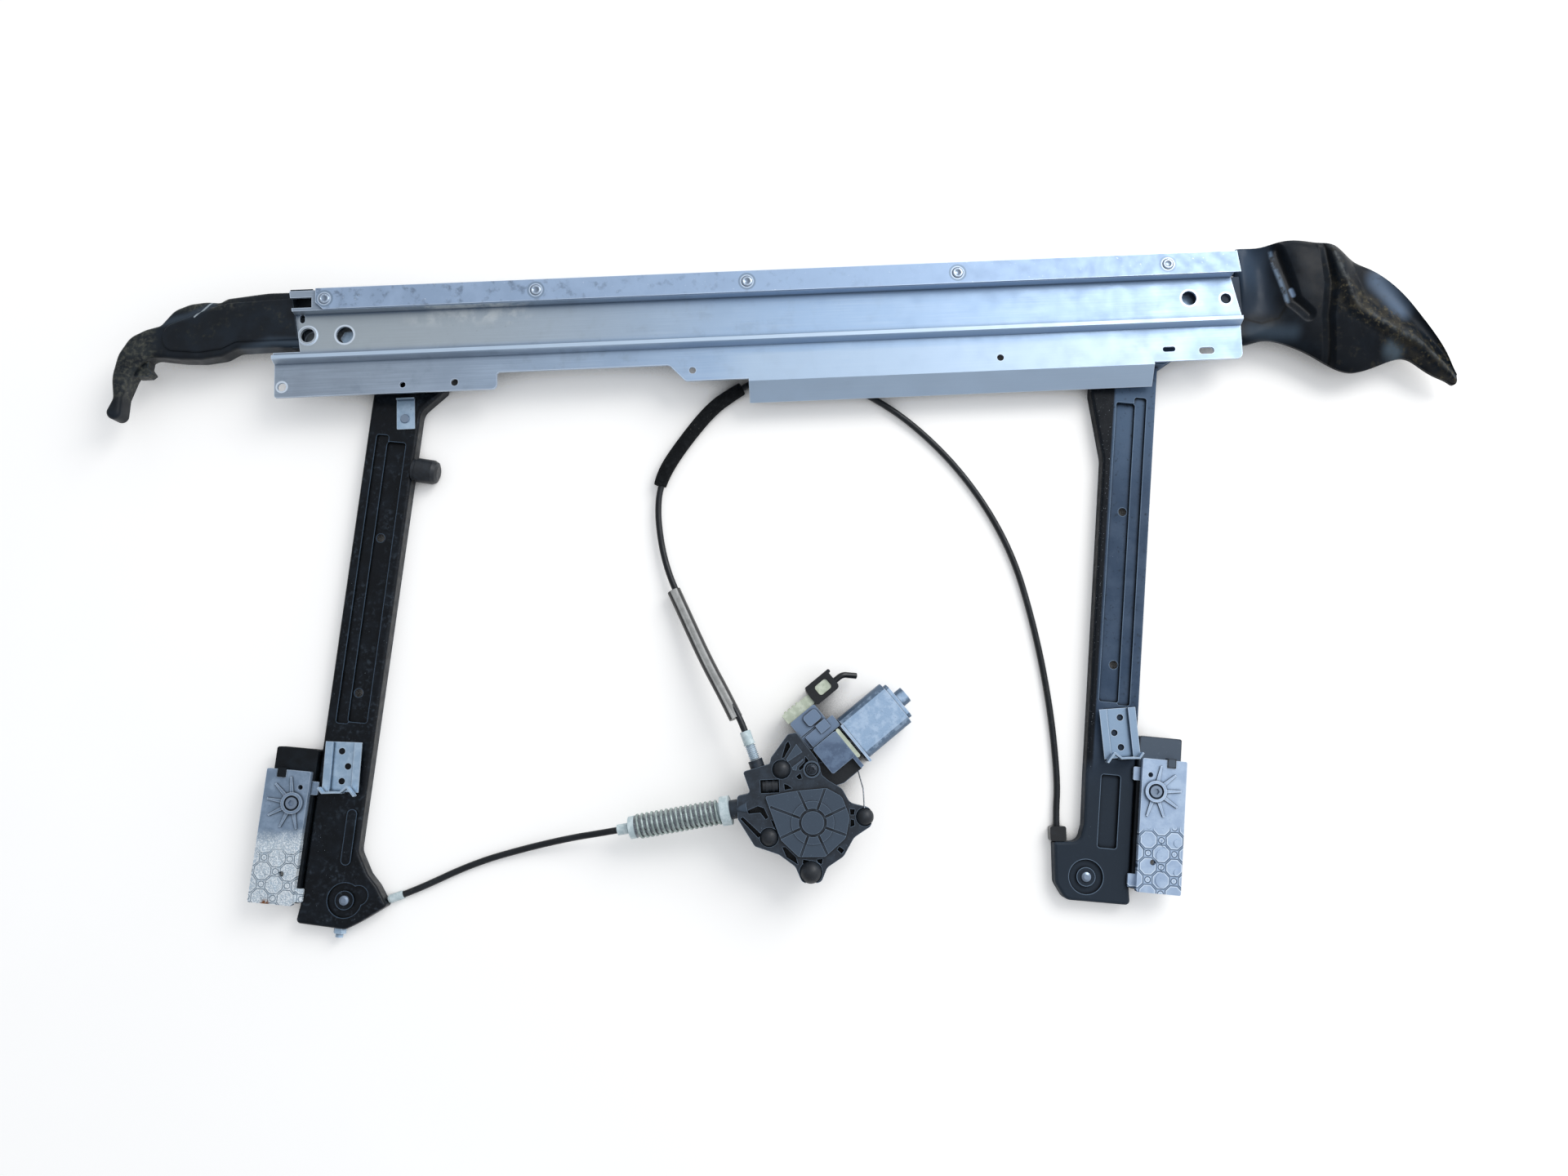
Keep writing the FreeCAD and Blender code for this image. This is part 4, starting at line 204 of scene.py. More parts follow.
beam_colour = coated(
    tree, "#949fac",
    (patches(tree, place, 40, 0.35, 0.7), "#9da9b6"),
    # Painted light: lighter towards the right, and darker towards the left in patches that are partly smudges
    # and partly painted shade.
    (within(tree, (x, 0.0, 0.5)), "#a3bcd8"),
    (within(tree, (x, 0.45, 0.85)), "#a2b9d3"),
    (within(tree, patches(tree, place, 20, 0.5, 0.7, 8.0), left_smudge_and_shade, 0.5), "#7d8a98"),
    (within(tree, smears, (x, 0.11, 0.14), (x, 0.26, 0.18), (y, -0.012, 0.002)), "#56626f"),
    (within(tree, powder, (x, 0.08, 0.11), (x, 0.22, 0.19), (y, 0.0, 0.012)), "#d8dde0"),
    (within(tree, die_lines, patches(tree, place, 60, 0.3, 0.6), 0.3), "#c3d3e4"),
    (within(tree, (x, 0.5, 0.05), (y, -0.018, -0.012), (y, 0.022, 0.017), 0.7), "#b5bcbd"),
    # A painted highlight along the rib.
    (within(tree, (y, -0.024, -0.0215), (y, -0.0165, -0.019)), "#c3d5e6"),
    (within(tree, (y, -0.030, -0.036), (x, 0.37, 0.42), (x, 0.85, 0.78), 0.6), "#bccddd"),
    # Painted shade beside the ribs, and painted highlights on the punched hole rims and on the edges.
    (hollow_shade(tree, 5), "#5c6d80"),
    (rims(tree, place, beam_holes), "#dfe9f2"),
    (edges(tree, 1.2), "#dbe7f4"))
add(tree, "ShaderNodeOutputMaterial", Surface=skin(
    tree, beam_colour, uneven(tree, place, 18, 0.36, 0.55), metal=0.65, bumps=[(die_lines, 0.03, 0.35)]))
dress(beam_metal, "waist_beam")

# Seal strip. A flat bar of rolled aluminium that closes the beam's ledge, sheared with its corners
# off. It is scuffed like the beam, in finer, softer clouds, and the rivet tool has printed a dull
# ring with a bright middle around each rivet.
rivet_first = (19.2, 31.2, 11.0)
rivet_pitch = 197.0
rivet_count = 5
strip_metal, tree, place = new_finish("rolled_aluminium_bar")
x = axes(tree, place)[0]
from_first = vectors(tree, "SUBTRACT", place, [v * MM for v in rivet_first])["Vector"]
half_pitch = rivet_pitch / 2 * MM
from_nearest = vectors(tree, "WRAP", from_first, (half_pitch, 1.0, 1.0), (-half_pitch, -1.0, -1.0))["Vector"]
print_way = vectors(tree, "LENGTH", from_nearest)["Value"]
strip_colour = coated(
    tree, "#9cb0c9",
    (patches(tree, place, 25, 0.35, 0.7), "#a8bcd5"),
    # Painted light along the strip: lighter from the middle towards the right, and darker towards the left in
    # patches that are partly smudges and partly painted shade.
    (within(tree, (x, 0.1, 0.55)), "#a2b8d3"),
    (within(tree, (x, 0.45, 0.85)), "#94a9c4"),
    (within(tree, patches(tree, place, 10, 0.52, 0.7, 8.0), (x, 0.7, 0.0)), "#77869a"),
    (patches(tree, place, 2.5, 0.66, 0.74, 6.0), "#d7e2ee"),
    (within(tree, (print_way, 0.0085, 0.0078), (print_way, 0.0062, 0.0069)), "#8799ad"),
    (within(tree, (print_way, 0.0066, 0.006)), "#c3d1e0"),
    # A painted highlight on its edges.
    (edges(tree, 1.0), "#dfeaf5"))
add(tree, "ShaderNodeOutputMaterial", Surface=skin(
    tree, strip_colour, uneven(tree, place, 12, 0.36, 0.55), metal=0.65))
dress(strip_metal, "seal_strip")

# Strip rivets. Five steel blind rivets hold the strip on the ledge, each set from above with a domed
# head and a sunk centre where its pin broke off.
rivet_section = (
    (0.0, 0.5), (2.6, 0.5), (3.0, 0.9), (3.5, 0.95), (4.4, 0.7), (5.4, 0.15), (5.4, -2.2), (2.4, -2.4),
    (2.4, -7.0), (0.0, -7.0))


def turned(name, section, steps=40):
    """Closed mesh of revolution about Z from (radius, height) points in millimetres, top first."""
    mesh = bmesh.new()
    turns = [2 * math.pi * i / steps for i in range(steps)]
    rings = []
    for radius, height in section:
        around = [(math.cos(a), math.sin(a)) for a in turns] if radius else [(0, 0)]
        rings.append([mesh.verts.new((radius * MM * c, radius * MM * s, height * MM)) for c, s in around])
    for upper, lower in zip(rings, rings[1:]):
        for i in range(steps):
            after = (i + 1) % steps
            face = [upper[i % len(upper)], lower[i % len(lower)],
                    lower[after % len(lower)], upper[after % len(upper)]]
            corners = list(dict.fromkeys(face))
            if len(corners) > 2:
                mesh.faces.new(corners)
    bmesh.ops.recalc_face_normals(mesh, faces=mesh.faces)
    data = bpy.data.meshes.new(name)
    mesh.to_mesh(data)
    mesh.free()
    for face in data.polygons:
        face.use_smooth = True
    return data


def put(name, data, body, material=None):
    """Place a mesh or a curve as a piece that rides on a body."""
    made = bpy.data.objects.new(name, data)
    bpy.context.scene.collection.objects.link(made)
    if material:
        data.materials.append(material)
    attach(made, body)
    return made


def row(name, pattern, count, start, step, turn, material):
    """Mesh of equal copies of a pattern mesh along a line, in millimetres, turned as (x, y, z) radians."""
    tree = bpy.data.node_groups.new(name, "GeometryNodeTree")
    kinds = {"Geometry": "Geometry", "Pattern": "Object", "Count": "Int", "Start": "Vector",
             "Step": "Vector", "Turn": "Rotation", "Finish": "Material"}
    sockets = {}
    for label, kind in kinds.items():
        sockets[label] = tree.interface.new_socket(label, in_out="INPUT", socket_type="NodeSocket" + kind)
    tree.interface.new_socket("Geometry", in_out="OUTPUT", socket_type="NodeSocketGeometry")
    given = add(tree, "NodeGroupInput").outputs
    line = add(tree, "GeometryNodeMeshLine", mode="OFFSET", Count=given["Count"],
               Start_Location=given["Start"], Offset=given["Step"])
    one = add(tree, "GeometryNodeObjectInfo", Object=given["Pattern"]).outputs["Geometry"]
    copies = add(tree, "GeometryNodeInstanceOnPoints", Points=line, Rotation=given["Turn"], Instance=one)
    solid = add(tree, "GeometryNodeRealizeInstances", Geometry=copies)
    painted = add(tree, "GeometryNodeSetMaterial", Geometry=solid, Material=given["Finish"])
    tree.links.new(painted.outputs[0], add(tree, "NodeGroupOutput").inputs[0])
    original = bpy.data.objects.new(name + "_pattern", pattern)
    holder = bpy.data.objects.new(name + "_holder", bpy.data.meshes.new(name + "_holder"))
    bpy.context.scene.collection.objects.link(holder)
    maker = holder.modifiers.new("row", "NODES")
    maker.node_group = tree
    values = {"Pattern": original, "Count": count, "Start": [v * MM for v in start],
              "Step": [v * MM for v in step], "Turn": turn, "Finish": material}
    for label, value in values.items():
        maker[sockets[label].identifier] = value
    result = bpy.data.meshes.new_from_object(holder.evaluated_get(bpy.context.evaluated_depsgraph_get()))
    bpy.data.objects.remove(holder)
    bpy.data.objects.remove(original)
    return result


# Set steel: bright where the tool pressed it, and grey below the raised ring of the strip rivets' heads,
# which lays painted shade in the sunk middle of each head.
rivet_steel, tree, place = new_finish("bright_steel_set")
z = axes(tree, place)[2]
rivet_colour = coated(
    tree, "#b4c2d2",
    (patches(tree, place, 2, 0.5, 0.65), "#d6e2ef"),
    (within(tree, (z, 0.01175, 0.0116)), "#8c9aab"))
add(tree, "ShaderNodeOutputMaterial", Surface=skin(tree, rivet_colour, 0.34, metal=0.85))
rivet_row = row(
    "rivet_row", turned("rivet", rivet_section), rivet_count, rivet_first, (rivet_pitch, 0, 0), (0, 0, 0),
    rivet_steel)
rivets = put("strip_rivet_row", rivet_row, "frame")
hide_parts("strip_rivets")

# Head bolts. Two bolts hold the rail heads against the back of the chamber and show in the beam's
# access holes. They are zinc plated, as the adjuster, the clip and the stop brackets are: pale blue
# and clouded, with pale edges that are partly wiped thin and partly painted highlight, and painted
# shade in their recesses. The small rivets and screws are set steel like the strip's.
zinc_plate, tree, place = new_finish("zinc_plated_steel_pressed")
x = axes(tree, place)[0]
zinc_colour = coated(
    tree, "#a0b8cd",
    (patches(tree, place, 9, 0.4, 0.65), "#b6cbdd"),
    (within(tree, (x, 0.3, 0.7)), "#8fa5bb"),
    (patches(tree, place, 2.2, 0.62, 0.78, 8.0), "#667c90"),
    (patches(tree, place, 1.2, 0.68, 0.78, 6.0), "#d4dfe8"),
    (hollow_shade(tree, 3), "#3f4f5f"),
    (edges(tree, 0.8), "#dbe8f4"))
add(tree, "ShaderNodeOutputMaterial", Surface=skin(
    tree, zinc_colour, uneven(tree, place, 6, 0.34, 0.52), metal=0.65,
    bumps=[(patches(tree, place, 1.5, 0.3, 0.7), 0.04, 0.5)]))
dress(zinc_plate, "head_bolts", "tilt_adjuster", "rail_clip", "left_stop_bracket", "right_stop_bracket")
dress(rivet_steel, "rail_clip_rivet", "pulley_rivets", "left_clamp_screw", "right_clamp_screw")

# Left end piece. A boot of black polyamide, injection moulded, whose prongs grip the beam's chamber.
# Road dust has settled on its arm and along its top edge, and a knife left one pale scratch.


def stroke(tree, place, width_mm, soft_mm, *stops):
    """1 along the line through the stops (millimetres, seen from above), fading out beside it."""
    whole = 0.0
    for start, end in zip(stops, stops[1:]):
        first = Vector((*start, 0.0)) * MM
        way = Vector((*end, 0.0)) * MM - first
        gone = vectors(tree, "SUBTRACT", seen_flat(tree, place), first)["Vector"]
        share = vectors(tree, "DOT_PRODUCT", gone, way / way.length_squared)["Value"]
        kept = add(tree, "ShaderNodeClamp", Value=share)
        foot = add(tree, "ShaderNodeVectorMath", operation="SCALE", Vector=way, Scale=kept)
        gap = vectors(tree, "DISTANCE", gone, foot)["Value"]
        part = within(tree, (gap, (width_mm / 2 + soft_mm) * MM, width_mm / 2 * MM))
        whole = maths(tree, "MAXIMUM", whole, part)
    return whole


boot_plastic, tree, place = new_finish("black_polyamide_moulded_dusty")
x, y, _ = axes(tree, place)
folds = clouds(tree, place, 45, 2.0, 0.4)
grain = clouds(tree, place, 2.5, 6.0)
arm = maths(tree, "ADD", within(tree, (x, -0.138, -0.15), (y, -0.056, -0.045)),
            within(tree, (x, -0.05, -0.09), (y, 0.026, 0.032)))
dust = patches(tree, place, 4, 0.42, 0.72, 9.0)
boot_colour = coated(
    tree, "#0d1319",
    (patches(tree, place, 30, 0.4, 0.7), "#141d26"),
    (within(tree, arm, patches(tree, place, 14, 0.35, 0.6)), "#23282a"),
    (within(tree, dust, arm), "#4d4d45"),
    (within(tree, patches(tree, place, 6, 0.52, 0.8, 9.0), patches(tree, place, 40, 0.45, 0.65)), "#38382f"),
    (within(tree, patches(tree, place, 0.9, 0.7, 0.76), arm), "#a8aca8"),
    # Painted highlights: a bluish line along the fold, a soft band along the lower edge and a pale tone on
    # the edges; the pale line between them is the knife scratch.
    (within(tree, stroke(tree, place, 1, 5, (-136, 18), (-112, 24), (-89, 34)), 0.6), "#3a4550"),
    (within(tree, stroke(tree, place, 0, 8, (-60, -12), (-34, -5), (-8, -7)), 0.7), "#3d4a57"),
    (stroke(tree, place, 0.6, 0.8, (-105.7, 22.1), (-90.7, 35.9)), "#9aa3a8"),
    (edges(tree, 1.5), "#2c3740"))
add(tree, "ShaderNodeOutputMaterial", Surface=skin(
    tree, boot_colour, uneven(tree, place, 12, 0.34, 0.55), gloss=0.25,
    bumps=[(folds, 3.5, 0.8), (grain, 0.12, 0.5)]))
dress(boot_plastic, "left_end_piece")

# Right end piece. A thin folded shell of the same polyamide that runs into the corner of the door.
# It is glossier, with a clean recessed panel next to the beam, and brown dirt lies along its ridge.
# Its fine forms are relief in the finish: the ridge, the crease beside it and the panel's wall. Their
# light is painted too: a painted grey-blue sheen on the panel, painted highlights below the panel,
# along the panel's edge by the wall, on a small tab, in the cup and low on the ridge, and painted
# shade as dark lines in the crease, at the panel's wall and along the panel's lower fold.
ridge_stops = ((965.7, 47.5), (975, 17), (986, -13.6), (1017.6, -34.6), (1046.8, -52.5), (1079, -80))
crease_stops = ((961, 47.5), (962.5, 10), (958, -20), (959, -66))
wall_stops = ((916.6, 45.7), (922, 20), (927, -5), (940, -18))
shell_plastic, tree, place = new_finish("black_polyamide_moulded_glossy")
x, y, _ = axes(tree, place)
folds = clouds(tree, place, 30, 2.0, 0.4)
grain = clouds(tree, place, 2.5, 6.0)
ridge_side = maths(tree, "ADD", maths(tree, "MULTIPLY_ADD", x, 0.69, -0.68), y)
dirt_band = within(tree, (x, 0.955, 0.975), (ridge_side, -0.038, -0.016), (ridge_side, 0.014, 0.0))
dust_and_sheen_patches = patches(tree, place, 8, 0.38, 0.6, 6.0)
ridge = stroke(tree, place, 0, 14, *ridge_stops)
sunk = maths(tree, "ADD", stroke(tree, place, 0, 7, *crease_stops), stroke(tree, place, 0, 8, *wall_stops))
relief = maths(tree, "SUBTRACT", ridge, sunk)
shell_colour = coated(
    tree, "#0b1016",
    (patches(tree, place, 24, 0.4, 0.7), "#121a22"),
    # Painted light from here on: a grey-blue sheen on the panel, then painted highlights and dark lines of
    # painted shade along the folds; the grey stroke along the ridge and the brown patches after it are dust
    # and dirt.
    (within(tree, (x, 0.918, 0.9), (y, -0.022, -0.008)), "#27313d"),
    (within(tree, (x, 0.912, 0.89), (y, 0.0, 0.03)), "#344252"),
    (within(tree, stroke(tree, place, 0, 13, (888, -30), (905.6, -33.7), (925, -34)), 0.8), "#36434f"),
    (within(tree, stroke(tree, place, 1, 3, *wall_stops), 0.8), "#040608"),
    (within(tree, stroke(tree, place, 0, 3, (911, 45.0), (916.5, 20), (921.5, -5)), dust_and_sheen_patches), "#5b6e82"),
    (within(tree, stroke(tree, place, 0.6, 1.6, (881, -18), (897, -24), (913.5, -19.6), (921, -8)), 0.8),
     "#040608"),
    (stroke(tree, place, 1.6, 2.2, (925, 5.0), (926.5, 0.0)), "#70839a"),
    (within(tree, stroke(tree, place, 1.0, 2, *crease_stops), 0.9), "#030405"),
    (within(tree, stroke(tree, place, 0, 5, *ridge_stops), dust_and_sheen_patches), "#45494a"),
    (within(tree, stroke(tree, place, 0, 17, (1009, 12), (1020, -1), (1029, -16)), 0.7), "#64768c"),
    (within(tree, stroke(tree, place, 0, 13, (1016, -54), (1022, -57)), 0.7), "#55646f"),
    (within(tree, patches(tree, place, 9, 0.42, 0.6, 8.0), dirt_band, 0.8), "#302d25"),
    (within(tree, patches(tree, place, 4, 0.53, 0.68, 9.0), dirt_band), "#524c3b"),
    (within(tree, patches(tree, place, 9, 0.55, 0.8, 9.0), (x, 0.94, 0.96), (x, 1.03, 1.0)), "#37342b"))
add(tree, "ShaderNodeOutputMaterial", Surface=skin(
    tree, shell_colour, uneven(tree, place, 12, 0.3, 0.48), gloss=0.13,
    bumps=[(relief, 5, 0.9), (folds, 2.5, 0.6), (grain, 0.08, 0.4)]))
dress(shell_plastic, "right_end_piece")

# Left guide rail. Deep-drawn steel sheet with a gloss black dip coat. Grease and white grit stick to
# it; the soft edges of its beads carry a painted highlight, and painted shade lies in its recesses.
left_coat, tree, place = new_finish("black_dip_coated_steel_pressed")
left_colour = coated(
    tree, "#070b10",
    (patches(tree, place, 16, 0.4, 0.7), "#10161d"),
    (within(tree, patches(tree, place, 4, 0.5, 0.7, 9.0), patches(tree, place, 30, 0.4, 0.6)), "#2b333b"),
    (within(tree, patches(tree, place, 1.1, 0.68, 0.75), patches(tree, place, 14, 0.45, 0.6)), "#9aa6ae"),
    (hollow_shade(tree, 4), "#020304"),
    (edges(tree, 1.2), "#56687b"))
add(tree, "ShaderNodeOutputMaterial", Surface=skin(
    tree, left_colour, uneven(tree, place, 8, 0.24, 0.48), gloss=0.2,
    bumps=[(patches(tree, place, 7, 0.2, 0.8, 2.0), 0.25, 0.5)]))
dress(left_coat, "left_rail")

# Right guide rail. The same pressing in a satin slate coat, worn to bare specks, with a black flank
# on its outer side. Painted shade lies in its recesses and a painted highlight along its edges.
rail_slope = 0.13787
right_coat, tree, place = new_finish("slate_coated_steel_pressed")
x, y, _ = axes(tree, place)
rail_way = maths(tree, "MULTIPLY_ADD", y, -rail_slope, x)
flank = within(tree, (rail_way, 0.771, 0.7685), (y, -0.44, -0.42))
right_colour = coated(
    tree, "#36475c",
    (patches(tree, place, 26, 0.35, 0.7), "#445468"),
    (within(tree, (y, -0.2, -0.1)), "#4b5f76"),
    (within(tree, (y, -0.36, -0.46)), "#27303a"),
    (patches(tree, place, 4, 0.56, 0.75, 9.0), "#2a3541"),
    (flank, "#0b1016"),
    (within(tree, flank, patches(tree, place, 1.2, 0.66, 0.72)), "#b9c4cc"),
    (patches(tree, place, 0.9, 0.72, 0.76), "#8796a6"),
    (hollow_shade(tree, 4), "#0b1016"),
    (edges(tree, 1.2), "#7f93a8"))
add(tree, "ShaderNodeOutputMaterial", Surface=skin(
    tree, right_colour, uneven(tree, place, 12, 0.42, 0.62), gloss=0.15,
    bumps=[(patches(tree, place, 6, 0.2, 0.8, 3.0), 0.15, 0.4)]))
dress(right_coat, "right_rail")

# Pulleys, drum, worm wheel and inner cables, hidden inside. The wheels are moulded of natural acetal
# and polished by the cable; the cable is stranded steel, greased grey, and the armature, the magnets
# and the thin locating wire outside are as grey.
acetal, tree, place = new_finish("natural_acetal_moulded")
acetal_colour = coated(
    tree, "#c4c6bb",
    (patches(tree, place, 8, 0.4, 0.7), "#d8dbd2"),
    (patches(tree, place, 3, 0.62, 0.8, 8.0), "#8f8f86"))
add(tree, "ShaderNodeOutputMaterial", Surface=skin(tree, acetal_colour, uneven(tree, place, 5, 0.3, 0.45)))
dress(acetal, "cable_drum", "worm_wheel", "left_lower_pulley", "left_upper_pulley", "right_lower_pulley",
      "right_upper_pulley")
greased_steel, tree, place = new_finish("stranded_steel_greased")
greased_colour = coated(
    tree, "#6f7378",
    (patches(tree, place, 0.8, 0.45, 0.6), "#a3a8ad"),
    (patches(tree, place, 5, 0.55, 0.75), "#4c4a45"))
add(tree, "ShaderNodeOutputMaterial", Surface=skin(
    tree, greased_colour, uneven(tree, place, 2, 0.3, 0.45), metal=0.85))
dress(greased_steel, "left_rail_cable", "right_rail_cable", "armature", "motor_magnets", "locating_wire")

# Left carrier plate. Zinc die casting with a satin bluish skin on its upper half. White oxide covers
# its lower half and the cast pattern there, octagons with discs between them, and one spot of rust
# sits at its foot. Above the tiles, painted shade lies in its recesses and a painted highlight along
# its edges.
tile_pitch = 16.6
tile_turn = math.radians(45 - 6)
tile_share = 0.46
disc_share = 0.155


def tiles(tree, place, centre):
    """Distance from the outline of the nearest cast tile, in pitches, below zero inside it."""
    grid = add(tree, "ShaderNodeMapping", vector_type="TEXTURE", Vector=place,
               Location=[v * MM for v in centre], Rotation=(0.0, 0.0, tile_turn),
               Scale=(tile_pitch * MM, tile_pitch * MM, 1.0))
    cell = vectors(tree, "WRAP", grid, (0.5, 0.5, 1.0), (-0.5, -0.5, -1.0))["Vector"]
    across, upward, _ = axes(tree, vectors(tree, "ABSOLUTE", cell)["Vector"])
    slanted = maths(tree, "MULTIPLY", maths(tree, "ADD", across, upward), math.sqrt(0.5))
    square = maths(tree, "MAXIMUM", across, upward)
    octagon = maths(tree, "SUBTRACT", maths(tree, "MAXIMUM", square, slanted), tile_share)
    folded = add(tree, "ShaderNodeCombineXYZ", X=across, Y=upward)
    corner = vectors(tree, "DISTANCE", folded, (0.5, 0.5, 0.0))["Value"]
    return maths(tree, "MINIMUM", octagon, maths(tree, "SUBTRACT", corner, disc_share))


left_casting, tree, place = new_finish("zinc_die_cast_oxidised")
y = axes(tree, place)[1]
tile_way = tiles(tree, place, (-31.7, -503.4, 0.0))
oxide_edge = maths(tree, "MULTIPLY_ADD", clouds(tree, place, 9, 6.0, 0.5), 0.014, y)
oxide_zone = within(tree, (oxide_edge, -0.446, -0.462))
tile_zone = within(tree, (y, -0.468, -0.478))
grains = patches(tree, place, 1.3, 0.42, 0.62, 8.0)
rust_way = vectors(tree, "DISTANCE", place, (-0.0400, -0.5198, -0.018))["Value"]
left_cast_colour = coated(
    tree, "#76889c",
    (patches(tree, place, 12, 0.4, 0.65), "#8c9eb2"),
    (patches(tree, place, 2.0, 0.6, 0.75, 8.0), "#4f5e6e"),
    (oxide_zone, "#b9c7d1"),
    (within(tree, (tile_way, -0.09, -0.05), (tile_way, -0.03, -0.045), tile_zone), "#e6ecee"),
    (within(tree, grains, oxide_zone), "#eef3f5"),
    (within(tree, (tile_way, -0.03, -0.008), (tile_way, 0.03, 0.012), tile_zone), "#6f7e8b"),
    (within(tree, patches(tree, place, 5, 0.62, 0.72, 8.0), oxide_zone), "#5b6874"),
    (within(tree, hollow_shade(tree, 3), (y, -0.472, -0.462)), "#39434e"),
    (within(tree, edges(tree, 0.8), (y, -0.47, -0.44)), "#c3d0de"),
    (within(tree, (rust_way, 0.006, 0.003), patches(tree, place, 2, 0.3, 0.5, 8.0)), "#7a4a22"))
add(tree, "ShaderNodeOutputMaterial", Surface=skin(
    tree, left_cast_colour, uneven(tree, place, 5, 0.42, 0.62), metal=0.3,
    bumps=[(maths(tree, "MULTIPLY", grains, oxide_zone), 0.3, 0.7)]))
dress(left_casting, "left_carrier_plate")

# Right carrier plate. The same casting with the same tiles, still clean: pale blue-grey, with a fine
# orange-peel skin. Above the tiles, painted shade lies in its recesses and a painted highlight along
# its edges.
right_casting, tree, place = new_finish("zinc_die_cast_clean")
y = axes(tree, place)[1]
tile_way = tiles(tree, place, (763.6, -510.1, 0.0))
tile_zone = within(tree, (y, -0.486, -0.491))
right_cast_colour = coated(
    tree, "#a3b7d0",
    (patches(tree, place, 12, 0.4, 0.65), "#b3c6dc"),
    (patches(tree, place, 2.5, 0.6, 0.78, 8.0), "#8ea2ba"),
    (within(tree, (tile_way, -0.09, -0.06), (tile_way, -0.03, -0.05), tile_zone), "#dbe8f5"),
    (within(tree, (tile_way, -0.035, -0.01), (tile_way, 0.035, 0.015), tile_zone), "#465a70"),
    (within(tree, hollow_shade(tree, 3), (y, -0.492, -0.486)), "#3b4c60"),
    (within(tree, edges(tree, 0.8), (y, -0.492, -0.486)), "#dbe8f5"))
add(tree, "ShaderNodeOutputMaterial", Surface=skin(
    tree, right_cast_colour, uneven(tree, place, 8, 0.4, 0.55), metal=0.3,
    bumps=[(patches(tree, place, 1.2, 0.3, 0.7), 0.08, 0.5)]))
dress(right_casting, "right_carrier_plate")

# Sliders and glass jaws. Glass-filled nylon, moulded black with a dry, faintly fibrous skin. The right
# jaw's face is polished grey-blue by the glass and keeps a dark border.
jaw_nylon, tree, place = new_finish("black_glass_filled_nylon_moulded")
jaw_colour = coated(
    tree, "#0b0f13",
    (patches(tree, place, 12, 0.4, 0.7), "#141a20"),
    (patches(tree, place, 1.2, 0.66, 0.75, 6.0), "#2c343c"))
add(tree, "ShaderNodeOutputMaterial", Surface=skin(
    tree, jaw_colour, uneven(tree, place, 6, 0.42, 0.6), gloss=0.2))
dress(jaw_nylon, "left_slider", "left_glass_jaw", "right_slider")
worn_nylon, tree, place = new_finish("grey_glass_filled_nylon_worn")
worn_colour = coated(
    tree, "#414e5c",
    (patches(tree, place, 3, 0.6, 0.75, 6.0), "#55636f"),
    (edges(tree, 2.0), "#12171c"))
add(tree, "ShaderNodeOutputMaterial", Surface=skin(tree, worn_colour, uneven(tree, place, 6, 0.4, 0.55)))
dress(worn_nylon, "right_glass_jaw")

# Drum housing and its cover. Slate glass-filled nylon; the cover is a shade lighter than the housing.
# The ribs are pale along their edges, partly worn and partly painted highlight, and the pockets
# between them and the housing's lower part are painted dark as shade.
housing_nylon, tree, place = new_finish("slate_glass_filled_nylon_moulded")
z = axes(tree, place)[2]
housing_colour = coated(
    tree, "#1d252e",
    (patches(tree, place, 9, 0.4, 0.7), "#2a343f"),
    (within(tree, (z, 0.0031, 0.0036)), "#3a4755"),
    (patches(tree, place, 2.0, 0.62, 0.76, 8.0), "#5c6b7c"),
    (within(tree, (z, -0.0035, -0.0075)), "#0d1217"),
    (hollow_shade(tree, 3), "#07090c"),
    (edges(tree, 0.8), "#6f8092"))
add(tree, "ShaderNodeOutputMaterial", Surface=skin(
    tree, housing_colour, uneven(tree, place, 5, 0.4, 0.58), gloss=0.4,
    bumps=[(patches(tree, place, 1.2, 0.3, 0.7), 0.06, 0.5)]))
dress(housing_nylon, "drum_housing", "drum_cover")

# Gear housing and electronics housing. Blue-slate nylon, mottled by flow marks. Its lower part, in the
# deep gaps around the worm chamber, is painted black as shade; painted shade also lies in its
# recesses and a painted highlight along its edges.
gear_nylon, tree, place = new_finish("blue_slate_nylon_moulded")
_, y, z = axes(tree, place)
gear_colour = coated(
    tree, "#50627b",
    (patches(tree, place, 7, 0.4, 0.62, 6.0), "#62768f"),
    (patches(tree, place, 1.8, 0.6, 0.76, 8.0), "#8397ad"),
    (within(tree, (z, -0.0068, -0.0115)), "#0c1116"),
    (within(tree, (y, -0.402, -0.392)), "#6d8098"),
    (hollow_shade(tree, 3), "#0a0d12"),
    (edges(tree, 0.8), "#93a5ba"))
add(tree, "ShaderNodeOutputMaterial", Surface=skin(
    tree, gear_colour, uneven(tree, place, 5, 0.4, 0.58), gloss=0.45,
    bumps=[(patches(tree, place, 1.5, 0.3, 0.7), 0.08, 0.5)]))
dress(gear_nylon, "gear_housing", "electronics_housing")

# Ball mounts, buffer, cable elbow and housing screw. The first three are soft black rubber with a
# bluish bloom; the screw is turned steel in black oxide, so it hardly shines.
rubber, tree, place = new_finish("black_rubber_moulded")
rubber_colour = coated(
    tree, "#15191e",
    (patches(tree, place, 6, 0.4, 0.7), "#1f252c"),
    (patches(tree, place, 1.5, 0.62, 0.75, 6.0), "#343c45"))
add(tree, "ShaderNodeOutputMaterial", Surface=skin(tree, rubber_colour, uneven(tree, place, 4, 0.42, 0.58)))
dress(rubber, "ball_mounts", "rail_buffer", "inlet_elbow")
black_oxide, tree, place = new_finish("black_oxide_steel_turned")
oxide_colour = coated(tree, "#2a2f36", (patches(tree, place, 2, 0.5, 0.7), "#4a525c"))
add(tree, "ShaderNodeOutputMaterial", Surface=skin(tree, oxide_colour, 0.45, metal=0.6))
dress(black_oxide, "housing_screw")

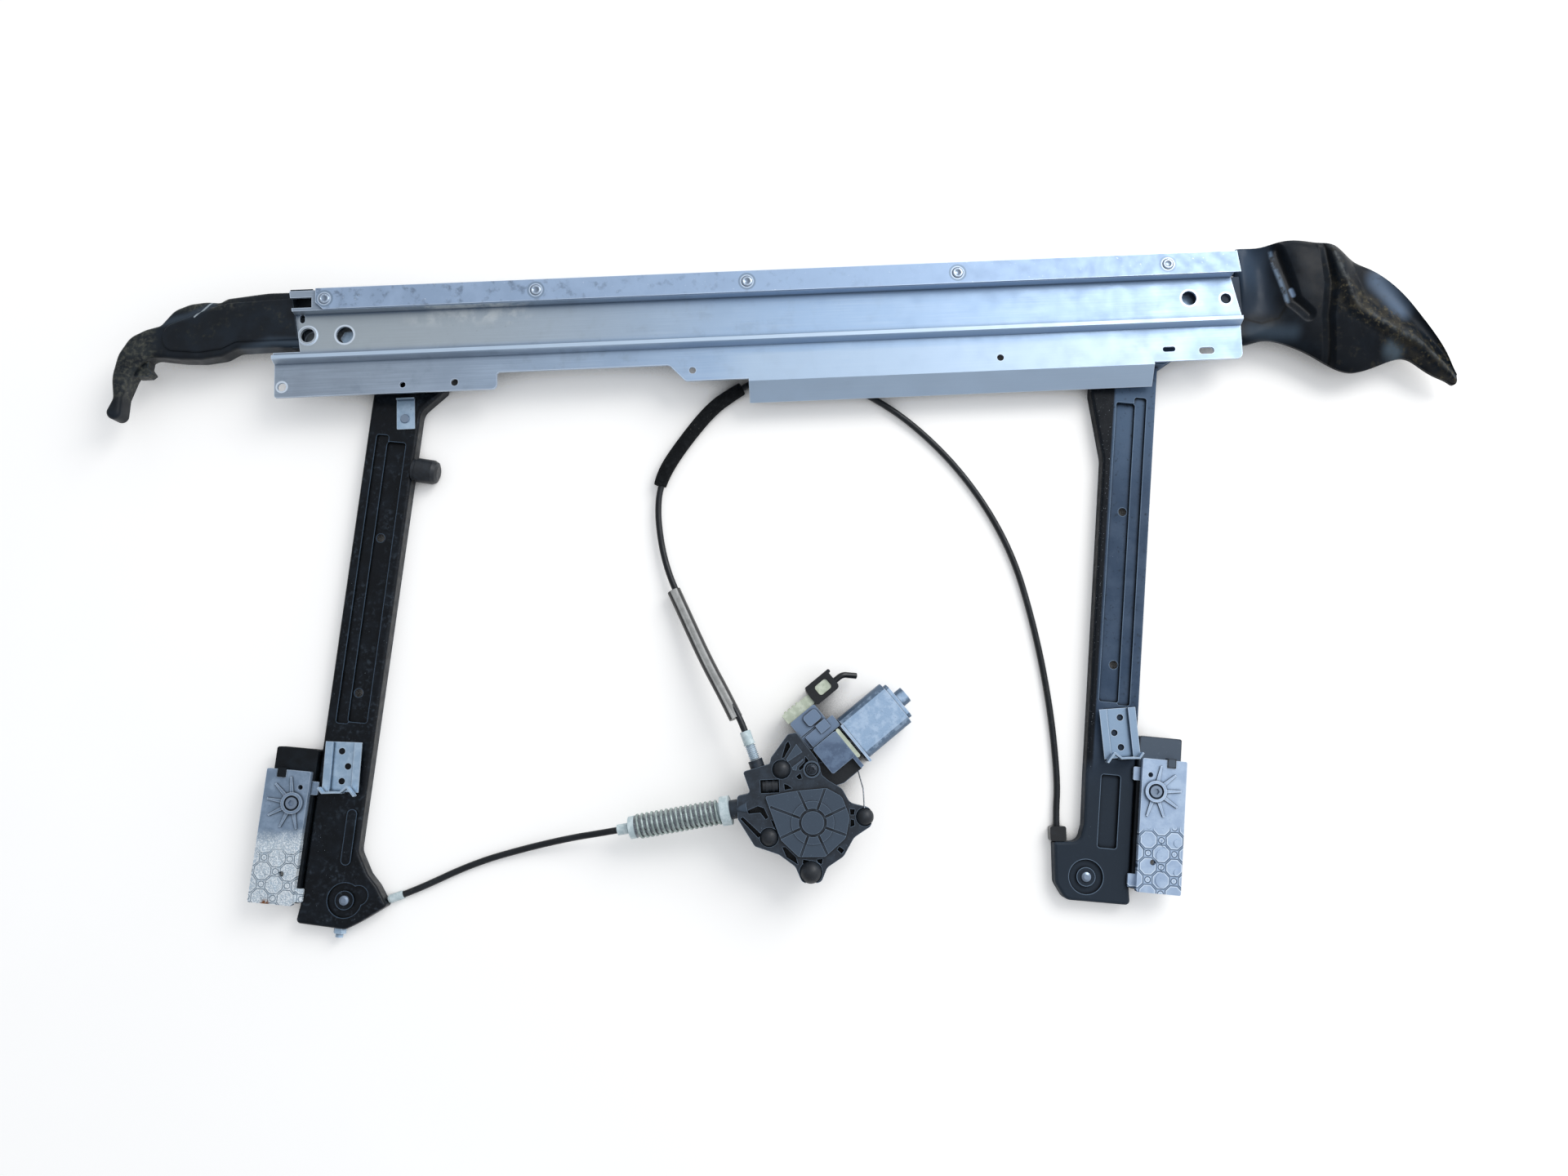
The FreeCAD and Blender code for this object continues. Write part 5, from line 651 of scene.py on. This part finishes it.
# Connector socket, insert and gasket. Ivory polybutylene, moulded, greenish where it is thin and
# speckled with dirt.
ivory, tree, place = new_finish("ivory_polybutylene_moulded")
ivory_colour = coated(
    tree, "#b9c1ab",
    (patches(tree, place, 6, 0.4, 0.65), "#d2d8c4"),
    (patches(tree, place, 2, 0.6, 0.76, 8.0), "#8d947f"))
add(tree, "ShaderNodeOutputMaterial", Surface=skin(tree, ivory_colour, uneven(tree, place, 5, 0.38, 0.52)))
dress(ivory, "motor_gasket", "connector_socket", "plug_insert")

# Wiring plug, its lead and the right cable cap. Gloss black polyamide, moulded, the smoothest of the
# black plastics.
gloss_black, tree, place = new_finish("gloss_black_polyamide_moulded")
gloss_colour = coated(tree, "#07090c", (patches(tree, place, 6, 0.45, 0.7), "#101419"))
add(tree, "ShaderNodeOutputMaterial", Surface=skin(tree, gloss_colour, uneven(tree, place, 5, 0.16, 0.3)))
dress(gloss_black, "wiring_plug", "plug_lead", "right_cable_cap")

# Motor can. Deep-drawn steel, zinc plated and passivated, pale blue and mottled. Its colour follows
# the way each face turns, as painted light: the flat face is painted lighter, with small painted
# glints, and the rounded sides darker. Painted shade lies in its recesses and a painted highlight on
# its edges.
can_plate, tree, place = new_finish("zinc_plated_can_drawn")
facing = axes(tree, add(tree, "ShaderNodeNewGeometry").outputs["Normal"])[2]
can_colour = coated(
    tree, "#5f7389",
    (within(tree, (facing, 0.8, 0.97)), "#9db6d0"),
    (within(tree, patches(tree, place, 6, 0.42, 0.62, 6.0), (facing, 0.7, 0.95)), "#b3c8de"),
    (patches(tree, place, 1.2, 0.6, 0.72, 8.0), "#7d93aa"),
    (within(tree, patches(tree, place, 0.9, 0.66, 0.74, 4.0), (facing, 0.7, 0.95)), "#d5e1ed"),
    (hollow_shade(tree, 2), "#2b3847"),
    (edges(tree, 0.8), "#e2ebf4"))
add(tree, "ShaderNodeOutputMaterial", Surface=skin(
    tree, can_colour, uneven(tree, place, 4, 0.36, 0.54), metal=0.55,
    bumps=[(patches(tree, place, 1.2, 0.3, 0.7), 0.08, 0.5)]))
dress(can_plate, "motor_can")

# Tension spring. Zinc-plated wire, wound close, greenish white on its turns. The greased core that
# runs through it shows dark between them.
core_route = ((292.0, -466.3, -16.6), (330.0, -460.7, -11.8), (366.0, -455.5, -7.1))
core_diameter = 19.0


def tube(name, points, diameter_mm, swell=None):
    """Round tube on a smooth line through its route; swell varies its thickness point by point."""
    line = bpy.data.curves.new(name, "CURVE")
    line.dimensions = "3D"
    spline = line.splines.new("NURBS")
    spline.points.add(len(points) - 1)
    for i, point in enumerate(points):
        spline.points[i].co = (*(v * MM for v in point), 1)
        spline.points[i].radius = swell[i] if swell else 1.0
    spline.order_u = 3
    spline.use_endpoint_u = True
    line.bevel_depth = diameter_mm / 2 * MM
    line.bevel_resolution = 5
    line.resolution_u = 14
    line.use_fill_caps = True
    return line


spring_wire, tree, place = new_finish("zinc_plated_spring_wire")
spring_colour = coated(
    tree, "#93a09c",
    (patches(tree, place, 4, 0.4, 0.65), "#b9c6c2"),
    (patches(tree, place, 1.2, 0.62, 0.74, 6.0), "#5d6663"))
add(tree, "ShaderNodeOutputMaterial", Surface=skin(
    tree, spring_colour, uneven(tree, place, 3, 0.32, 0.48), metal=0.6))
dress(spring_wire, "tension_spring")
put("spring_core", tube("spring_core", core_route, core_diameter), "frame", greased_steel)

# Spring cap and seat and the conduit ferrules. White acetal, moulded, a little green in the shade.
# The upper ferrule carries a short zinc-plated thread.
white_acetal, tree, place = new_finish("white_acetal_moulded")
white_colour = coated(
    tree, "#b9c9cb",
    (patches(tree, place, 5, 0.4, 0.65), "#d3dfe0"),
    (patches(tree, place, 1.5, 0.64, 0.76, 8.0), "#8c9b9c"))
add(tree, "ShaderNodeOutputMaterial", Surface=skin(tree, white_colour, uneven(tree, place, 4, 0.36, 0.5)))
dress(white_acetal, "spring_cap", "spring_seat", "upper_ferrule", "left_ferrule")
thread_section = ((0.0, 0.55), (4.1, 0.55), (4.8, 0.2), (4.8, -0.2), (4.1, -0.55), (0.0, -0.55))
thread_pitch = 1.7
thread_count = 8
thread_start = Vector((402.6, -409.9, -4.0))
thread_way = Vector((-0.298, 0.955, 0.0))
thread_turn = (math.radians(-90), 0, math.radians(17.3))
thread_row = row(
    "thread_row", turned("thread", thread_section), thread_count, thread_start, thread_way * thread_pitch,
    thread_turn, zinc_plate)
put("ferrule_thread", thread_row, "frame")

# Conduits. Black polyamide tubes over a wound liner, each with the lifting cable inside and pressed
# into a fitting at both ends. They are extruded, so their skin is smooth, with a soft gloss and dust.
conduit_jacket, tree, place = new_finish("black_polyamide_extruded")
conduit_colour = coated(
    tree, "#0d1115",
    (patches(tree, place, 25, 0.4, 0.7), "#171c21"),
    (within(tree, patches(tree, place, 3, 0.55, 0.75, 9.0), patches(tree, place, 50, 0.42, 0.62)), "#45453f"))
add(tree, "ShaderNodeOutputMaterial", Surface=skin(
    tree, conduit_colour, uneven(tree, place, 8, 0.3, 0.5), gloss=0.4))
conduit_diameter = 6.0
conduit_routes = {
    "conduit_to_left_rail": (0.217, (
        (73.5, -520.1, -36.0), (88.9, -515.6, -36.0), (141.4, -493.9, -36.9), (188.0, -482.6, -35.0),
        (232.0, -474.3, -28.0), (261.5, -470.6, -20.4), (281.2, -467.9, -18.0))),
    "conduit_to_right_rail": (0.739, (
        (396.3, -389.7, -4.0), (391.5, -374.4, -4.0), (381.5, -357.0, -8.5), (364.0, -322.5, -17.0),
        (341.4, -269.0, -27.5), (324.6, -226.0, -32.6), (318.6, -178.0, -33.0), (323.5, -145.0, -33.0),
        (343.5, -112.5, -33.0), (373.0, -77.5, -33.0), (411.0, -53.5, -33.0), (470.0, -24.0, -36.9),
        (540.0, -3.0, -36.9), (614.0, 9.5, -36.9), (688.0, 15.1, -36.9), (747.3, 6.9, -36.0))),
    "conduit_between_rails": (0.869, (
        (675.6, -487.7, -36.0), (676.1, -471.7, -36.0), (680.2, -443.0, -36.9), (678.3, -375.0, -36.9),
        (669.0, -300.0, -36.9), (652.0, -224.0, -36.9), (615.0, -154.0, -36.9), (565.0, -97.5, -36.0),
        (516.0, -65.0, -31.0), (466.0, -43.5, -26.2), (424.0, -30.0, -26.2), (360.0, -16.5, -32.0),
        (288.0, -9.0, -36.9), (205.0, -2.8, -36.9), (135.1, 6.9, -36.0))),
}

# Foam sleeve on the right rail's conduit, where it could rattle on the door. Closed-cell foam, cut
# from a tube and pushed over the conduit, so it is matt, a little lumpy and crushed at its ends.
foam_skin, tree, place = new_finish("closed_cell_foam_cut")
lint = within(tree, patches(tree, place, 2.2, 0.58, 0.74, 8.0), patches(tree, place, 25, 0.42, 0.6))
foam_colour = coated(tree, "#0e1012", (patches(tree, place, 5, 0.4, 0.7), "#1a1c1e"), (lint, "#454540"))
add(tree, "ShaderNodeOutputMaterial", Surface=skin(
    tree, foam_colour, 0.95, gloss=0.2, bumps=[(patches(tree, place, 2.0, 0.2, 0.8, 6.0), 0.6, 0.9)]))
foam_diameter = 13.4
foam_route = (
    (322.4, -150.0, -33.0), (326.0, -138.0, -33.0), (343.5, -112.5, -33.0), (373.0, -77.5, -33.0),
    (396.0, -62.5, -33.0), (403.5, -58.6, -33.0))
foam_swell = (0.9, 1.02, 1.0, 1.03, 0.98, 0.92)
foam_tube = tube("foam_wrap", foam_route, foam_diameter, foam_swell)
foam_wrap = put("foam_wrap", foam_tube, "frame", foam_skin)
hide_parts("foam_sleeve")

# Film sleeve. A slit tube of clear film, extruded, greyed by dust, that hangs over the same conduit.
# It is pale and half clear where it faces the eye and dark along its sides.
film, tree, place = new_finish("clear_film_extruded")
side = add(tree, "ShaderNodeLayerWeight", Blend=0.5).outputs["Facing"]
film_colour = coated(
    tree, "#b4b4b0",
    (patches(tree, place, 10, 0.4, 0.65), "#c9c9c5"),
    (patches(tree, place, 3, 0.6, 0.76, 8.0), "#858580"),
    (within(tree, (side, 0.1, 0.24)), "#2b2a29"))
film_skin = skin(tree, film_colour, uneven(tree, place, 8, 0.22, 0.4))
cover = add(tree, "ShaderNodeMapRange", Value=side, From_Min=0.08, From_Max=0.24, To_Min=0.6, To_Max=1.0)
clear = add(tree, "ShaderNodeBsdfTransparent")
add(tree, "ShaderNodeOutputMaterial", Surface=add(
    tree, "ShaderNodeMixShader", Fac=cover, Shader=clear, Shader_001=film_skin))
film_diameter = 12.6
film_route = (
    (332.5, -251.5, -30.0), (338.0, -264.5, -29.0), (361.0, -319.0, -18.5), (378.0, -353.0, -11.0),
    (387.0, -373.0, -8.5))
film_sleeve = put("film_sleeve", tube("film_sleeve", film_route, film_diameter), "frame", film)
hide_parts("split_sleeve")

# Conduit tubes. Each is laid on its route as a stiff cord from fitting to fitting, and the foam and
# film sleeves lie along the one to the right rail.
for name, (length, route) in conduit_routes.items():
    jacket = put(name + "_jacket", tube(name, route, conduit_diameter), "frame", conduit_jacket)
    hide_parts(name)

# Floor. The regulator lies on a white floor that keeps its soft shadow, and painted shade darkens its
# colour close under the pieces; for the camera and in reflections the open floor glows to the white
# of the background.
floor_z = -40.2 * MM
floor_corners = ((-4, -4), (5, -4), (5, 4), (-4, 4))
floor_lift = 0.2
shade_reach = 90
shade_open, shade_deep = 0.42, 0.14
floor_mesh = bpy.data.meshes.new("floor")
floor_mesh.from_pydata([(*corner, floor_z) for corner in floor_corners], [], [(0, 1, 2, 3)])
floor = bpy.data.objects.new("floor", floor_mesh)
bpy.context.scene.collection.objects.link(floor)
floor_white, tree, place = new_finish("white_painted_board")
free = openness(tree, shade_reach)
shaded = add(tree, "ShaderNodeMapRange", Value=free, From_Min=shade_open, From_Max=shade_deep)
floor_colour = coated(tree, "#f8f5f0", (patches(tree, place, 400, 0.4, 0.7), "#faf7f2"), (shaded, "#3c3a38"))
ray = add(tree, "ShaderNodeLightPath").outputs
straight = maths(tree, "MAXIMUM", ray["Is Camera Ray"], ray["Is Glossy Ray"])
open_lift = add(tree, "ShaderNodeMapRange", Value=free, From_Min=shade_deep, From_Max=shade_open,
                To_Max=floor_lift)
add(tree, "ShaderNodeOutputMaterial", Surface=add(
    tree, "ShaderNodeBsdfPrincipled", Base_Color=floor_colour, Roughness=0.9, Specular_IOR_Level=0.0,
    Emission_Color=(1.0, 1.0, 1.0, 1.0), Emission_Strength=maths(tree, "MULTIPLY", straight, open_lift)))
floor_mesh.materials.append(floor_white)

# Light. A big soft sky that is brighter towards the upper right, and one large soft lamp there.
sky = bpy.data.worlds.new("sky")
bpy.context.scene.world = sky
sky.use_nodes = True
tree = sky.node_tree
tree.nodes.clear()
bright_way = Vector((0.75, 0.35, 0.55)).normalized()
looking = add(tree, "ShaderNodeTexCoord").outputs["Generated"]
towards = vectors(tree, "DOT_PRODUCT", looking, bright_way)["Value"]
strength = add(tree, "ShaderNodeMapRange", interpolation_type="SMOOTHSTEP", Value=towards,
               From_Min=-0.2, From_Max=1.0, To_Min=0.42, To_Max=1.05)
add(tree, "ShaderNodeOutputWorld", Surface=add(
    tree, "ShaderNodeBackground", Color=paint("#f0f6ff"), Strength=strength))
lamp_place = Vector((1.9, 1.1, 1.7))
lamp_aim = Vector((0.45, -0.25, 0))
lamp = bpy.data.lights.new("key", "AREA")
lamp.size = 1.5
lamp.energy = 34
key = bpy.data.objects.new("key", lamp)
aimed = (lamp_aim - lamp_place).to_track_quat("-Z", "Y").to_matrix().to_4x4()
key.matrix_world = Matrix.Translation(lamp_place) @ aimed
bpy.context.scene.collection.objects.link(key)

# Camera. The photograph looks down on the floor from about 1.1 m above it, from a little below the
# beam's side, with the picture turned a few degrees.
eye = Vector((0.42953, -0.39719, 1.06326))
lean = math.radians(7.5)
turn = math.radians(2.45)
view_right = Vector((math.cos(turn), -math.sin(turn), 0))
level = Vector((math.sin(turn), math.cos(turn), 0))
view_up = level * math.cos(lean) + Vector((0, 0, math.sin(lean)))
view_back = level * -math.sin(lean) + Vector((0, 0, math.cos(lean)))
lens = bpy.data.cameras.new("camera")
lens.lens = 27.04
lens.sensor_width = 36
camera = bpy.data.objects.new("camera", lens)
camera.matrix_world = Matrix.Translation(eye) @ Matrix((view_right, view_up, view_back)).transposed().to_4x4()
bpy.context.scene.collection.objects.link(camera)
bpy.context.scene.camera = camera
bpy.context.scene.view_settings.view_transform = "Standard"
